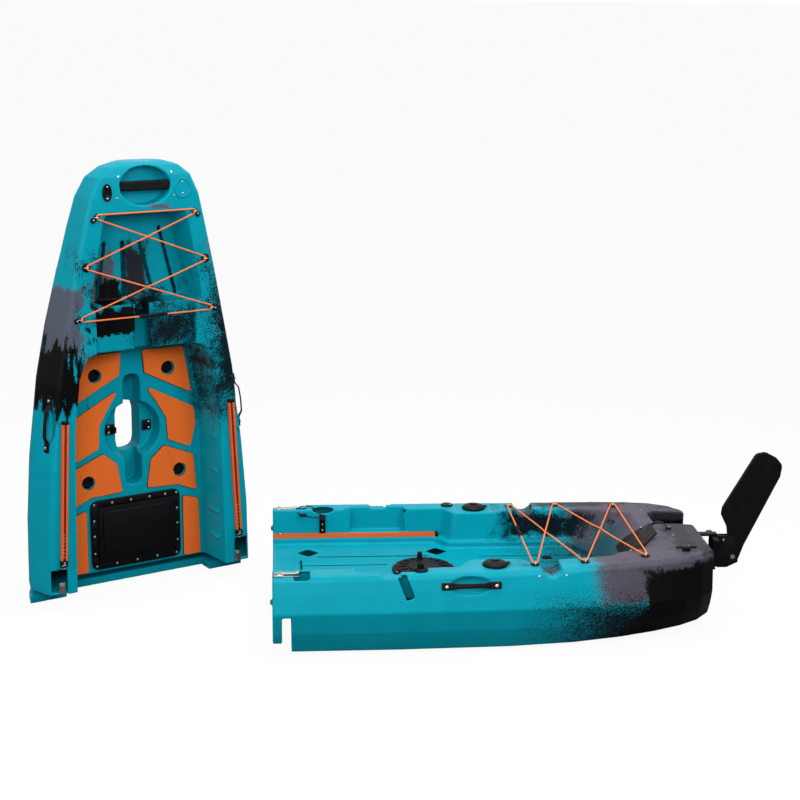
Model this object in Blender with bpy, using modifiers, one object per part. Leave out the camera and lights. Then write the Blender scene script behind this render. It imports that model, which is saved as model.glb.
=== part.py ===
"""Modular sit-on-top pedal kayak: a bow section standing on its joint end
and a stern section lying on its bottom.  Metres, +Z up.

Each section is modelled in its own boat frame: +X aft, +Y starboard, +Z up
from the bottom, with the joint face at x = 0.  An empty then places it.
"""
import math

import bmesh
import bpy
from mathutils import Matrix, Vector

for old in list(bpy.data.objects):
    bpy.data.objects.remove(old, do_unlink=True)

# Driving dimensions of both sections
SHEER = 0.303                 # height of the gunwale top at the joint
CHINE_Z = 0.177               # height of the widest line of the hull side
GUNWALE_HALF = 0.404          # half beam at the gunwale top, at the joint
CHINE_HALF = 0.452            # half beam at the chine, at the joint
BOTTOM_HALF = 0.372           # half width of the bottom, at the joint
TUNNEL = 0.018                # depth of the two channels in the bottom
RIM_OUT = 0.012               # the chamfer of the gunwale
RIM_DROP = 0.016
SKIN = 0.005                  # wall of the moulded hulls
GAP = 0.0003                  # clearance between touching pieces
BOW_LENGTH = 1.60
STERN_LENGTH = 1.60
NOSE_SOLID = 0.040            # length of the nose that the cavity leaves out
HOOK_REACH = 0.066            # how far the bow's hook passes the joint face
HOOK_WALL = 0.030             # thickness of the hook's upstand
HOOK_TOP = 0.160
HOOK_BASE = 0.050
HOOK_MIDDLE = 0.090           # top of the hook between the cockpit's sides
TONGUE_WALL = 0.029
TONGUE_FOOT = 0.055
JOINT_PLAY = 0.004
MID_HALF = 0.300              # half width of the lowered middle of the hook

# Where the sections stand
BOW_YAW = math.radians(28.0)
BOW_PLACE = (-0.458, 0.24)     # deck centre at the bow's joint face, from the stern's joint

# Bow section
COCKPIT_FLOOR = 0.135
COCKPIT_LENGTH = 0.885
FORE_DECK = 0.170             # from the nose to the front tank well
WELL_FRONT = BOW_LENGTH - FORE_DECK
WELL_BACK = 1.055
WELL_FLOOR = 0.190
RIDGE_TOP = 0.262
SOCKET_D = 0.555              # pedal drive socket, distance from the joint
SOCKET_R = 0.122
SOCKET_FLOOR = 0.085
CHANNEL_HALF = 0.035
CHANNEL_FRONT = 0.775
CHANNEL_BACK = 0.335
CHANNEL_FLOOR = 0.055
THROUGH_FRONT = 0.655
THROUGH_BACK = 0.455
THROUGH_HALF = 0.050
RECESS_BACK = 0.085           # from the nose to the middle of the grab recess
RECESS_D = BOW_LENGTH - RECESS_BACK
RECESS_HALF = 0.100
RECESS_LENGTH = 0.142
RECESS_FLOOR = 0.265
BAR_WIDTH = 0.036
BAR_THICK = 0.018
BAR_BEVEL = 0.004
BAR_SUNK = 0.006              # how far the bar's top lies below the deck
RECESS_SIDES = 32
DRAIN_D = BOW_LENGTH - 0.103  # oval drain plug beside the grab recess
DRAIN_Y = 0.150
DRAIN_HALF = 0.032
DRAIN_WIDE = 0.018
DRAIN_THICK = 0.005
HATCH_FRONT = 0.292           # rectangular hatch frame, distances from the joint
HATCH_BACK = 0.012
HATCH_HALF = 0.187
HATCH_BORDER = 0.034
HATCH_FRAME = 0.008
LID_LAP = 0.005
LID_THICK = 0.007
LID_PANEL = 0.006
PAD_THICK = 0.006
PAD_HOLE = 0.026
PAD_MARGIN = 0.017            # between the pads and what ends the floor
PAD_CORNER = 0.012

# Gear tracks
TRACK_WIDTH = 0.024
TRACK_HEIGHT = 0.013
TRACK_WALL = 0.003
TRACK_SLOT = 0.009
BOW_TRACK_FRONT = 0.660       # distances from the joint
BOW_TRACK_BACK = 0.140
BOW_TRACK_Y = 0.362
BOW_TRACK_LEAN = 0.026        # the front end lies this much closer to the middle
STERN_TRACK_FRONT = 0.003
STERN_TRACK_BACK = 0.636
STERN_TRACK_PLAY = 0.014      # from the edge of the floor to the track's middle

# Stern section
SEAT_FLOOR = 0.170
LEDGE = 0.196
LEDGE_HALF = 0.335            # half width of the well above the ledge
FLOOR_HALF = 0.304
PEDESTAL_FRONT = 0.700
PEDESTAL_BACK = 0.885
PEDESTAL_HALF = 0.272
STERN_WELL_HALF = 0.300
AFT_SLOPE = 0.355             # from the transom to the foot of the well's sloping wall
WELL_FOOT = STERN_LENGTH - AFT_SLOPE
STERN_WELL_END = WELL_FOOT - 0.030
WELL_SLOPE = math.radians(41.0)
SLOPE_HALF = 0.185
HATCH_X = 0.564
ROUND_HATCH_R = 0.118
ROUND_HATCH_HOLE = 0.092
ROUND_RING = 0.010
ROUND_LID_R = 0.103
ROUND_LID = 0.010
ROD_X = 0.788
ROD_Y = 0.325
ROD_BORE = 0.0240
ROD_TUBE = 0.0035
ROD_DEPTH = 0.200
ROD_FLANGE_R = 0.046
ROD_FLANGE = 0.004
ROD_LID = 0.011
LEVER_X = 0.520
LEVER_Y = 0.362
STEER_ARM = 0.052
LEVER_BASE_R = 0.027
LEVER_BASE = 0.010            # height of the round base
NOTCH_LENGTH = 0.150          # rudder line recess beside the centreline
NOTCH_FRONT = STERN_LENGTH - NOTCH_LENGTH
NOTCH_NEAR = 0.060
NOTCH_FAR = 0.200
NOTCH_FLOOR = 0.225

# Strap handle and cleat of the aft deck
STRAP_X = STERN_LENGTH - 0.150
STRAP_HALF = 0.048
STRAP_FOOT = 0.015
STRAP_SLOPE = 0.014
STRAP_RISE = 0.020
STRAP_THICK = 0.005
STRAP_WIDTH = 0.020
CLEAT_X = STERN_LENGTH - 0.106
CLEAT_Y = 0.252
CLEAT_HORN = 0.038
CLEAT_FOOT = 0.014
CLEAT_HIGH = 0.018

# Latches that pull the sections together, and the alignment pegs
LATCH_STEP = 0.012            # how far the rim is lowered under a latch
LATCH_INNER = 0.349
LATCH_LENGTH = 0.100
LATCH_Y = 0.3655
LATCH_PLATE = 0.003
LATCH_PIN = 0.0020
PEG_Y = 0.400
PEG_Z = 0.208
PEG_R = 0.008
PEG_REACH = 0.007

# Carry handles
HANDLE_LENGTH = 0.212
HANDLE_WIDTH = 0.026
HANDLE_THICK = 0.005
HANDLE_RISE = 0.016
HANDLE_FOOT = 0.036
HANDLE_SLOPE = 0.022          # length over which the strap leaves the hull
HANDLE_LIFT = 0.0009          # its feet clear the curve of the hull side
HANDLE_HEIGHT = 0.262         # height of the handle's middle on the hull side
BOW_HANDLE_D = 0.655
STERN_HANDLE_X = 0.695
FINGER_LENGTH = 0.150
FINGER_HEIGHT = 0.066
FINGER_DEPTH = 0.024

# Shock cord and its pad eyes
CORD_R = 0.0030
EYE_FOOT = (0.034, 0.016, 0.003)
EYE_RING = 0.0108             # radius of the arch's centreline
EYE_WIRE = 0.0022

# Rudder
PIN_BEHIND = 0.062            # from the transom to the rudder's pin
PIN_X = STERN_LENGTH + PIN_BEHIND
PIN_R = 0.0060
PIN_PLAY = 0.0004
LUG_LOW = 0.160               # underside of the lower lug
LUG_HIGH = 0.302              # top of the upper lug
LUG = 0.008
HEAD_END = PIN_X + 0.086
STEER_ARM_HALF = 0.062
BLADE_X = PIN_X + 0.076       # blade pivot
BLADE_Z = 0.212
BLADE_THICK = 0.014
CHEEK = 0.006
BLADE_LENGTH = 0.409
BLADE_WIDTH = 0.136
BLADE_ANGLE = math.radians(62.7)
BOLT_R = 0.0050
BOLT_PLAY = 0.0004

# Hull stations: distance from the joint as a share of the section's length,
# half beams as shares of the joint's (gunwale, chine, bottom), then keel,
# chine and gunwale heights in metres
BOW_SHAPE = (
    (-HOOK_REACH / BOW_LENGTH, 1.00, 1.00, 1.00, 0.000, CHINE_Z, SHEER),
    (0.15625, 0.985, 0.985, 0.98, 0.000, CHINE_Z, SHEER),
    (0.3125, 0.935, 0.945, 0.93, 0.000, CHINE_Z, SHEER),
    (0.50, 0.85, 0.865, 0.80, 0.004, CHINE_Z, SHEER),
    (0.625, 0.757, 0.78, 0.68, 0.013, 0.180, SHEER + 0.004),
    (0.75, 0.66, 0.675, 0.55, 0.036, 0.190, SHEER + 0.011),
    (0.8625, 0.563, 0.574, 0.413, 0.076, 0.204, SHEER + 0.017),
    (0.925, 0.505, 0.516, 0.325, 0.110, 0.218, SHEER + 0.021),
    (0.96875, 0.427, 0.438, 0.256, 0.148, 0.234, SHEER + 0.019),
    (0.990625, 0.320, 0.331, 0.187, 0.178, 0.245, SHEER + 0.009),
    (1.0, 0.194, 0.209, 0.118, 0.198, 0.250, SHEER - 0.004),
)
STERN_SHAPE = (
    (0.00, 1.00, 1.00, 1.00, 0.000, CHINE_Z, SHEER),
    (0.28125, 0.995, 0.995, 1.00, 0.000, CHINE_Z, SHEER),
    (0.53125, 0.962, 0.963, 0.965, 0.000, CHINE_Z, SHEER + 0.003),
    (0.675, 0.922, 0.930, 0.905, 0.002, 0.176, SHEER + 0.008),
    (0.78125, 0.883, 0.886, 0.836, 0.010, 0.173, SHEER + 0.013),
    (0.8625, 0.834, 0.827, 0.767, 0.020, 0.169, SHEER + 0.017),
    (0.925, 0.776, 0.754, 0.689, 0.029, 0.166, SHEER + 0.019),
    (0.96875, 0.689, 0.672, 0.610, 0.038, 0.166, SHEER + 0.018),
    (1.0, 0.582, 0.569, 0.512, 0.052, 0.170, SHEER + 0.012),
)
BOW_STATIONS = [(row[0] * BOW_LENGTH, *row[1:]) for row in BOW_SHAPE]
STERN_STATIONS = [(row[0] * STERN_LENGTH, *row[1:]) for row in STERN_SHAPE]

PART = bpy.data.collections.new("modular_kayak")
CUTTERS = bpy.data.collections.new("cutters")
for group in (PART, CUTTERS):
    bpy.context.scene.collection.children.link(group)


def finish(name, colour, roughness, metallic=0.0):
    """A plain Principled material in one colour."""
    material = bpy.data.materials.new(name)
    material.use_nodes = True
    shader = material.node_tree.nodes["Principled BSDF"]
    shader.inputs["Base Color"].default_value = (*colour, 1.0)
    shader.inputs["Roughness"].default_value = roughness
    shader.inputs["Metallic"].default_value = metallic
    material.diffuse_color = (*colour, 1.0)
    return material


TEAL = finish("moulded_polyethylene", (0.0, 0.36, 0.42), 0.45)
BLACK = finish("black_nylon", (0.012, 0.012, 0.014), 0.5)
FOAM = finish("orange_foam", (0.80, 0.17, 0.02), 0.9)
ANODISED = finish("orange_anodised", (0.75, 0.14, 0.02), 0.3, 0.9)
STEEL = finish("stainless_steel", (0.6, 0.6, 0.62), 0.25, 1.0)
CORD = finish("orange_cord", (0.85, 0.20, 0.03), 0.7)


def add(name, bm, material=None, cutter=False):
    """Turn a bmesh into an object of the part, or into a hidden cutter."""
    bmesh.ops.recalc_face_normals(bm, faces=bm.faces[:])
    mesh = bpy.data.meshes.new(name)
    bm.to_mesh(mesh)
    bm.free()
    obj = bpy.data.objects.new(name, mesh)
    if cutter:
        CUTTERS.objects.link(obj)
        obj.hide_render = True
        obj.display_type = "WIRE"
    else:
        mesh.materials.append(material)
        mesh.shade_smooth()
        mesh.set_sharp_from_angle(angle=math.radians(35))
        PART.objects.link(obj)
    return obj


def loft(rings):
    """A closed solid through rings that all have the same number of points."""
    bm = bmesh.new()
    rows = [[bm.verts.new(point) for point in ring] for ring in rings]
    count = len(rows[0])
    for near, far in zip(rows, rows[1:]):
        for i in range(count):
            j = (i + 1) % count
            bm.faces.new((near[i], near[j], far[j], far[i]))
    bm.faces.new(rows[0][::-1])
    bm.faces.new(rows[-1])
    return bm


def block(low, high, bevel=0.0):
    """A box between two corners, its edges rounded by one bevel."""
    bm = bmesh.new()
    bmesh.ops.create_cube(bm, size=1.0)
    size = [b - a for a, b in zip(low, high)]
    centre = [(a + b) / 2 for a, b in zip(low, high)]
    bmesh.ops.scale(bm, vec=size, verts=bm.verts)
    bmesh.ops.translate(bm, vec=centre, verts=bm.verts)
    if bevel:
        bmesh.ops.bevel(bm, geom=bm.edges[:], offset=bevel, segments=1, affect="EDGES")
    return bm


def drum(centre, radius, height, axis="Z", segments=24, top=None):
    """A cylinder or cone, centred on a point."""
    bm = bmesh.new()
    bmesh.ops.create_cone(bm, cap_ends=True, segments=segments, radius1=radius,
                          radius2=radius if top is None else top, depth=height)
    turn = {"Z": Matrix(), "X": Matrix.Rotation(math.pi / 2, 4, "Y"),
            "Y": Matrix.Rotation(-math.pi / 2, 4, "X")}[axis]
    bmesh.ops.transform(bm, matrix=Matrix.Translation(centre) @ turn, verts=bm.verts)
    return bm


def egg(centre, radii, turn=0.0):
    """An ellipsoid, turned about X."""
    bm = bmesh.new()
    bmesh.ops.create_uvsphere(bm, u_segments=20, v_segments=10, radius=1.0)
    place = Matrix.Translation(centre) @ Matrix.Rotation(turn, 4, "X")
    bmesh.ops.transform(bm, matrix=place @ Matrix.Diagonal((*radii, 1.0)), verts=bm.verts)
    return bm


def rounded(outline, radius, steps=3):
    """The outline with each corner replaced by an arc of a few points."""
    points = []
    count = len(outline)
    for i, corner in enumerate(outline):
        here = Vector(corner)
        before = Vector(outline[i - 1]) - here
        after = Vector(outline[(i + 1) % count]) - here
        half = before.angle(after) / 2
        reach = min(radius / math.tan(half), 0.45 * before.length, 0.45 * after.length)
        start = here + before.normalized() * reach
        end = here + after.normalized() * reach
        for k in range(steps + 1):
            t = k / steps
            point = start * (1 - t) ** 2 + here * 2 * t * (1 - t) + end * t ** 2
            points.append((point.x, point.y))
    return points


def offset(outline, distance):
    """Move a closed outline outwards by a distance, square to each side."""
    count = len(outline)
    area = sum(outline[i - 1][0] * outline[i][1] - outline[i][0] * outline[i - 1][1]
               for i in range(count))
    side = 1.0 if area > 0 else -1.0
    moved = []
    for i in range(count):
        a, b, c = Vector(outline[i - 1]), Vector(outline[i]), Vector(outline[(i + 1) % count])
        first = (b - a).normalized()
        second = (c - b).normalized()
        n1 = Vector((first.y, -first.x)) * side
        n2 = Vector((second.y, -second.x)) * side
        middle = (n1 + n2).normalized()
        moved.append(tuple(b + middle * distance / max(0.5, middle.dot(n1))))
    return moved


def mirrored(half):
    """A closed outline from its starboard half, listed from aft to forward."""
    return list(half) + [(x, -y) for x, y in reversed(half)]


def flat(outline, z):
    return [(x, y, z) for x, y in outline]


def solid_of(curve):
    """The closed mesh that a curve makes, with its caps welded on."""
    obj = bpy.data.objects.new(curve.name, curve)
    CUTTERS.objects.link(obj)
    graph = bpy.context.evaluated_depsgraph_get()
    mesh = bpy.data.meshes.new_from_object(obj.evaluated_get(graph))
    bpy.data.objects.remove(obj, do_unlink=True)
    bm = bmesh.new()
    bm.from_mesh(mesh)
    bpy.data.meshes.remove(mesh)
    bmesh.ops.remove_doubles(bm, verts=bm.verts, dist=0.000001)
    return bm


def prism(outline, low, high):
    """A flat outline, filled and made as thick as the step between two heights."""
    curve = bpy.data.curves.new("outline", "CURVE")
    curve.dimensions = "2D"
    curve.fill_mode = "BOTH"
    curve.extrude = (high - low) / 2
    spline = curve.splines.new("POLY")
    spline.points.add(len(outline) - 1)
    for slot, (x, y) in zip(spline.points, outline):
        slot.co = (x, y, 0.0, 1.0)
    spline.use_cyclic_u = True
    bm = solid_of(curve)
    bmesh.ops.translate(bm, vec=(0.0, 0.0, (low + high) / 2), verts=bm.verts)
    return bm


def panel(outline, y0, y1):
    """A flat plate whose (x, z) outline is seen from the side."""
    bm = prism(outline, -y1, -y0)
    bmesh.ops.rotate(bm, matrix=Matrix.Rotation(math.pi / 2, 3, "X"), verts=bm.verts)
    return bm


def evaluated(obj):
    """Replace an object's mesh by what its modifiers make of it."""
    graph = bpy.context.evaluated_depsgraph_get()
    mesh = bpy.data.meshes.new_from_object(obj.evaluated_get(graph))
    old = obj.data
    obj.modifiers.clear()
    obj.data = mesh
    bpy.data.meshes.remove(old)
    mesh.name = obj.name
    return obj


def combine(target, others, operation="DIFFERENCE"):
    """Cut or join other solids, then keep the result."""
    for other in others:
        modifier = target.modifiers.new(operation.lower(), "BOOLEAN")
        modifier.operation = operation
        modifier.object = other
    return evaluated(target)


def cut(target, *shapes):
    tools = [add(f"{target.name}_cut", bm, cutter=True) for bm in shapes]
    return combine(target, tools)


def join(target, *shapes):
    tools = [add(f"{target.name}_joined", bm, cutter=True) for bm in shapes]
    combine(target, tools, "UNION")
    for tool in tools:
        bpy.data.objects.remove(tool, do_unlink=True)
    return target


def tube(name, points, radius, material, cyclic=False, sides=2):
    """A round bar along a list of points."""
    curve = bpy.data.curves.new(name, "CURVE")
    curve.dimensions = "3D"
    curve.bevel_depth = radius
    curve.bevel_resolution = sides
    curve.use_fill_caps = not cyclic
    spline = curve.splines.new("POLY")
    spline.points.add(len(points) - 1)
    for slot, point in zip(spline.points, points):
        slot.co = (*point, 1.0)
    spline.use_cyclic_u = cyclic
    return add(name, solid_of(curve), material)


def set_origin(obj, point):
    """Put an object's origin on its joint, without moving its shape."""
    obj.data.transform(Matrix.Translation(-Vector(point)))
    obj.location = point
    return obj


# Hull shapes

def station_at(stations, d):
    """Half beams and heights of a hull at a distance from its joint."""
    for low, high in zip(stations, stations[1:]):
        if d <= high[0]:
            break
    t = (d - low[0]) / (high[0] - low[0])
    row = [a + (b - a) * t for a, b in zip(low, high)]
    return (row[1] * GUNWALE_HALF, row[2] * CHINE_HALF, row[3] * BOTTOM_HALF, *row[4:])


def section_outline(stations, d):
    """Cross-section of a hull as (y, z) points, keel first."""
    gunwale, chine, bottom, z_keel, z_chine, z_sheer = station_at(stations, d)
    rise = z_sheer - z_chine
    depth = TUNNEL * bottom / BOTTOM_HALF
    half = [(0.18 * bottom, z_keel), (0.40 * bottom, z_keel + depth),
            (0.55 * bottom, z_keel + depth), (0.76 * bottom, z_keel),
            (0.95 * bottom, z_keel + 0.002),
            (bottom + 0.22 * (chine - bottom), z_keel + 0.10 * (z_chine - z_keel)),
            (bottom + 0.72 * (chine - bottom), z_keel + 0.55 * (z_chine - z_keel)),
            (chine, z_chine),
            (chine + 0.45 * (gunwale - chine), z_chine + 0.55 * rise),
            (gunwale + RIM_OUT, z_sheer - RIM_DROP),
            (gunwale, z_sheer)]
    return half + [(-y, z) for y, z in reversed(half)]


def hull_rings(stations, sign, first, last, inset=0.0):
    """Rings of a hull between two distances from the joint."""
    places = [first] + [row[0] for row in stations if first < row[0] < last] + [last]
    rings = []
    for d in places:
        outline = offset(section_outline(stations, d), -inset)
        rings.append([(sign * d, y, z) for y, z in outline])
    return rings


def side_point(stations, sign, d, height, side):
    """A point on the sloping hull side, with the outward normal there."""
    gunwale, chine, _, _, z_chine, z_sheer = station_at(stations, d)
    low = (chine + 0.45 * (gunwale - chine), z_chine + 0.55 * (z_sheer - z_chine))
    high = (gunwale + RIM_OUT, z_sheer - RIM_DROP)
    t = (height - low[1]) / (high[1] - low[1])
    y = low[0] + (high[0] - low[0]) * t
    normal = Vector((0.0, side * (high[1] - low[1]), low[0] - high[0])).normalized()
    return Vector((sign * d, side * y, height)), normal


def well(floor, top, z_floor, z_top, radius, grow=0.0):
    """A drafted pocket, open above; grown outwards it leaves the skin round it."""
    lower = offset(rounded(floor, radius), grow)
    upper = offset(rounded(top, radius), grow)
    return loft([flat(lower, z_floor - grow), flat(upper, z_top)])


def finger_pocket(stations, sign, d, side, grow=0.0):
    """Oval hand pocket behind a carry handle."""
    point, normal = side_point(stations, sign, d, HANDLE_HEIGHT, side)
    turn = side * math.atan2(normal.z, abs(normal.y))
    radii = (FINGER_LENGTH / 2 + grow, FINGER_DEPTH + grow, FINGER_HEIGHT / 2 + grow)
    return egg(point, radii, turn)


# Bow hull

ABOVE = SHEER + 0.08          # a height clear above both decks
SIDES = (-1, 1)


def bow_x(outline):
    """Outline given as (distance from the joint, y) in boat coordinates."""
    return [(-d, y) for d, y in outline]


def bow_pockets(grow):
    """Everything that is sunk into the bow section's deck."""
    past = HOOK_REACH + 0.03
    front = COCKPIT_LENGTH
    cockpit_floor = mirrored([(-past, 0.292), (0.62, 0.276), (0.80, 0.254), (front, 0.228)])
    cockpit_top = mirrored([(-past, 0.322), (0.62, 0.303), (0.83, 0.276), (front + 0.03, 0.235)])
    tank_floor = mirrored([(WELL_BACK + 0.025, 0.212), (WELL_FRONT - 0.03, 0.142)])
    tank_top = mirrored([(WELL_BACK, 0.240), (WELL_FRONT, 0.166)])
    saddle = mirrored([(front - 0.02, 0.200), (WELL_BACK + 0.05, 0.200)])
    groove = mirrored([(CHANNEL_FRONT - 0.05, 0.040), (WELL_BACK + 0.10, 0.024)])
    channel = mirrored([(CHANNEL_BACK, CHANNEL_HALF), (CHANNEL_FRONT, CHANNEL_HALF)])
    through = mirrored([(THROUGH_BACK, THROUGH_HALF), (THROUGH_FRONT, THROUGH_HALF)])
    socket_low = [(SOCKET_D + SOCKET_R * 0.86 * math.cos(a), SOCKET_R * 0.86 * math.sin(a))
                  for a in (math.tau * k / 24 for k in range(24))]
    socket_high = [(SOCKET_D + SOCKET_R * math.cos(a), SOCKET_R * math.sin(a))
                   for a in (math.tau * k / 24 for k in range(24))]
    shapes = [
        well(bow_x(cockpit_floor), bow_x(cockpit_top), COCKPIT_FLOOR, ABOVE, 0.05, grow),
        well(bow_x(tank_floor), bow_x(tank_top), WELL_FLOOR, ABOVE, 0.03, grow),
        well(bow_x(saddle), bow_x(saddle), RIDGE_TOP, ABOVE, 0.03, grow),
        well(bow_x(groove), bow_x(groove), WELL_FLOOR + 0.004, ABOVE, 0.01, grow),
        well(bow_x(channel), bow_x(channel), CHANNEL_FLOOR, ABOVE, 0.034, grow),
        loft([flat(offset(bow_x(socket_low), grow), SOCKET_FLOOR - grow),
              flat(offset(bow_x(socket_high), grow), COCKPIT_FLOOR + 0.03)]),
        well(bow_x(through), bow_x(through), -0.05, SOCKET_FLOOR + 0.01, 0.045, grow),
    ]
    recess = [(RECESS_D + RECESS_LENGTH / 2 * math.cos(a), RECESS_HALF * math.sin(a))
              for a in (math.tau * k / RECESS_SIDES for k in range(RECESS_SIDES))]
    shapes.append(loft([flat(offset(bow_x(recess), grow), RECESS_FLOOR - grow),
                        flat(offset(bow_x(recess), grow), ABOVE)]))
    for side in SIDES:
        shapes.append(finger_pocket(BOW_STATIONS, -1, BOW_HANDLE_D, side, grow))
    return shapes


def bow_opening():
    """Hole under the rectangular hatch, from the cockpit floor into the hull."""
    inner = HATCH_HALF - HATCH_BORDER
    outline = mirrored([(HATCH_BACK + HATCH_BORDER, inner), (HATCH_FRONT - HATCH_BORDER, inner)])
    return prism(rounded(bow_x(outline), 0.02), COCKPIT_FLOOR - 3 * SKIN, COCKPIT_FLOOR + 0.02)


def largest_piece(obj):
    """Keep the biggest loose piece of a mesh."""
    bm = bmesh.new()
    bm.from_mesh(obj.data)
    left = set(bm.verts)
    groups = []
    while left:
        group = []
        stack = [left.pop()]
        while stack:
            vert = stack.pop()
            group.append(vert)
            for edge in vert.link_edges:
                other = edge.other_vert(vert)
                if other in left:
                    left.discard(other)
                    stack.append(other)
        groups.append(group)
    groups.sort(key=len)
    small = [vert for group in groups[:-1] for vert in group]
    bmesh.ops.delete(bm, geom=small, context="VERTS")
    bm.to_mesh(obj.data)
    bm.free()
    return obj


def hollow(hull, stations, sign, first, last, pockets):
    """Take the inside out of a hull, leaving the skin and the walls of its pockets."""
    core = add(f"{hull.name}_core", loft(hull_rings(stations, sign, first, last, SKIN)), cutter=True)
    cut(core, *pockets)
    largest_piece(core)
    return combine(hull, [core])


def make_bow_hull():
    hull = add("bow_hull", loft(hull_rings(BOW_STATIONS, -1, -HOOK_REACH, BOW_LENGTH)), TEAL)
    cut(hull, *bow_pockets(0.0))
    hollow(hull, BOW_STATIONS, -1, SKIN * 2, BOW_LENGTH - NOSE_SOLID, bow_pockets(SKIN))
    slot = HOOK_REACH - HOOK_WALL
    wide = CHINE_HALF + 0.05
    past = HOOK_REACH + 0.02
    step = (GUNWALE_HALF + 0.1, SHEER - LATCH_STEP)
    cut(hull,
        bow_opening(),
        block((-LATCH_LENGTH, LATCH_INNER, step[1]), (past, step[0], ABOVE)),
        block((-LATCH_LENGTH, -step[0], step[1]), (past, -LATCH_INNER, ABOVE)),
        *[drum((0.0, side * PEG_Y, PEG_Z), PEG_R + 4 * GAP, 2 * PEG_REACH + 0.004, "X", 16)
          for side in SIDES],
        block((0.0, -wide, HOOK_TOP), (past, wide, ABOVE)),
        block((0.0, -wide, HOOK_BASE), (slot, wide, ABOVE)),
        block((0.0, -MID_HALF, HOOK_MIDDLE), (past, MID_HALF, ABOVE)))
    return hull


# Stern hull

def stern_pockets(grow):
    """Everything that is sunk into the stern section's deck."""
    lip = WELL_FOOT + (ABOVE - LEDGE) / math.tan(WELL_SLOPE)
    seat_top = mirrored([(-0.05, LEDGE_HALF), (PEDESTAL_FRONT - 0.03, LEDGE_HALF),
                         (PEDESTAL_FRONT + 0.012, PEDESTAL_HALF), (PEDESTAL_BACK - 0.012, PEDESTAL_HALF),
                         (PEDESTAL_BACK + 0.025, STERN_WELL_HALF), (WELL_FOOT + 0.005, 0.272), (lip, SLOPE_HALF + 0.010)])
    seat_floor = mirrored([(-0.05, LEDGE_HALF - 0.004), (PEDESTAL_FRONT - 0.045, LEDGE_HALF - 0.004),
                           (PEDESTAL_FRONT - 0.008, PEDESTAL_HALF - 0.02),
                           (PEDESTAL_BACK + 0.008, PEDESTAL_HALF - 0.02),
                           (PEDESTAL_BACK + 0.04, STERN_WELL_HALF - 0.01), (WELL_FOOT - 0.075, 0.262),
                           (WELL_FOOT, SLOPE_HALF)])
    low = mirrored([(-0.05, FLOOR_HALF), (PEDESTAL_FRONT - 0.065, FLOOR_HALF),
                    (PEDESTAL_FRONT - 0.02, PEDESTAL_HALF - 0.035),
                    (STERN_WELL_END - 0.075, PEDESTAL_HALF - 0.035), (STERN_WELL_END, 0.090)])
    notch = [(NOTCH_FRONT, NOTCH_NEAR + 0.03), (NOTCH_FRONT, NOTCH_FAR),
             (STERN_LENGTH + 0.05, NOTCH_FAR), (STERN_LENGTH + 0.05, NOTCH_NEAR),
             (NOTCH_FRONT + 0.05, NOTCH_NEAR)]
    shapes = [
        well(seat_floor, seat_top, LEDGE, ABOVE, 0.02, grow),
        well(low, low, SEAT_FLOOR, LEDGE + 0.01, 0.03, grow),
        well(notch, notch, NOTCH_FLOOR, ABOVE, 0.012, grow),
    ]
    for side in SIDES:
        outer = GUNWALE_HALF + 0.08
        shapes.append(finger_pocket(STERN_STATIONS, 1, STERN_HANDLE_X, side, grow))
        near, far = side * (LEDGE_HALF - 0.02), side * (LEDGE_HALF + 0.034 + grow)
        pocket_low = [(0.300 - grow, near), (0.520 + grow, near), (0.520 + grow, far), (0.300 - grow, far)]
        pocket_high = [(0.241 - grow, near), (0.585 + grow, near), (0.498 + grow, far), (0.322 - grow, far)]
        shapes.append(loft([flat(pocket_low, LEDGE + 0.012 - grow), flat(pocket_high, ABOVE)]))
        y0, y1 = sorted((side * (LEDGE_HALF - 0.02), side * outer))
        shapes.append(block((0.380 - grow, y0, SHEER - 0.010 - grow), (0.448 + grow, y1, ABOVE)))
        shapes.append(drum((0.985, side * 0.36, SHEER + 0.010), 0.036 + grow, 0.16 + 2 * grow, "Y", 20))
    return shapes


def stern_opening():
    """Round hole under the floor hatch."""
    return drum((HATCH_X, 0.0, SEAT_FLOOR), ROUND_HATCH_HOLE, 6 * SKIN, segments=40)


def make_stern_hull():
    hull = add("stern_hull", loft(hull_rings(STERN_STATIONS, 1, 0.0, STERN_LENGTH)), TEAL)
    cut(hull, *stern_pockets(0.0))
    tubes = [drum((ROD_X, side * ROD_Y, ABOVE - ROD_DEPTH / 2 - 0.07), ROD_BORE + ROD_TUBE + 2 * GAP + SKIN,
                  ROD_DEPTH + 0.14) for side in SIDES]
    hollow(hull, STERN_STATIONS, 1, HOOK_REACH + 2 * SKIN, STERN_LENGTH - SKIN, stern_pockets(SKIN) + tubes)
    wide = CHINE_HALF + 0.05
    foot = TONGUE_WALL + JOINT_PLAY
    step = (GUNWALE_HALF + 0.1, SHEER - LATCH_STEP)
    cut(hull, stern_opening(),
        block((-0.02, LATCH_INNER, step[1]), (LATCH_LENGTH + 0.03, step[0], ABOVE)),
        block((-0.02, -step[0], step[1]), (LATCH_LENGTH + 0.03, -LATCH_INNER, ABOVE)),
        block((-0.02, -wide, -0.02), (HOOK_REACH, wide, TONGUE_FOOT)),
        block((foot, -wide, -0.02), (HOOK_REACH, wide, HOOK_TOP + JOINT_PLAY)))
    bores = [drum((ROD_X, side * ROD_Y, ABOVE - 0.05), ROD_BORE + ROD_TUBE + GAP, 2 * ROD_DEPTH) for side in SIDES]
    cut(hull, *bores)
    join(hull, *[drum((0.0, side * PEG_Y, PEG_Z), PEG_R, 2 * PEG_REACH, "X", 16) for side in SIDES])
    return hull


# Pieces of the deck

def deck_z(stations, first, last):
    """Lowest height that clears the deck between two distances from the joint."""
    places = [first, last] + [row[0] for row in stations if first < row[0] < last]
    return max(station_at(stations, d)[5] for d in places) + GAP


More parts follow.
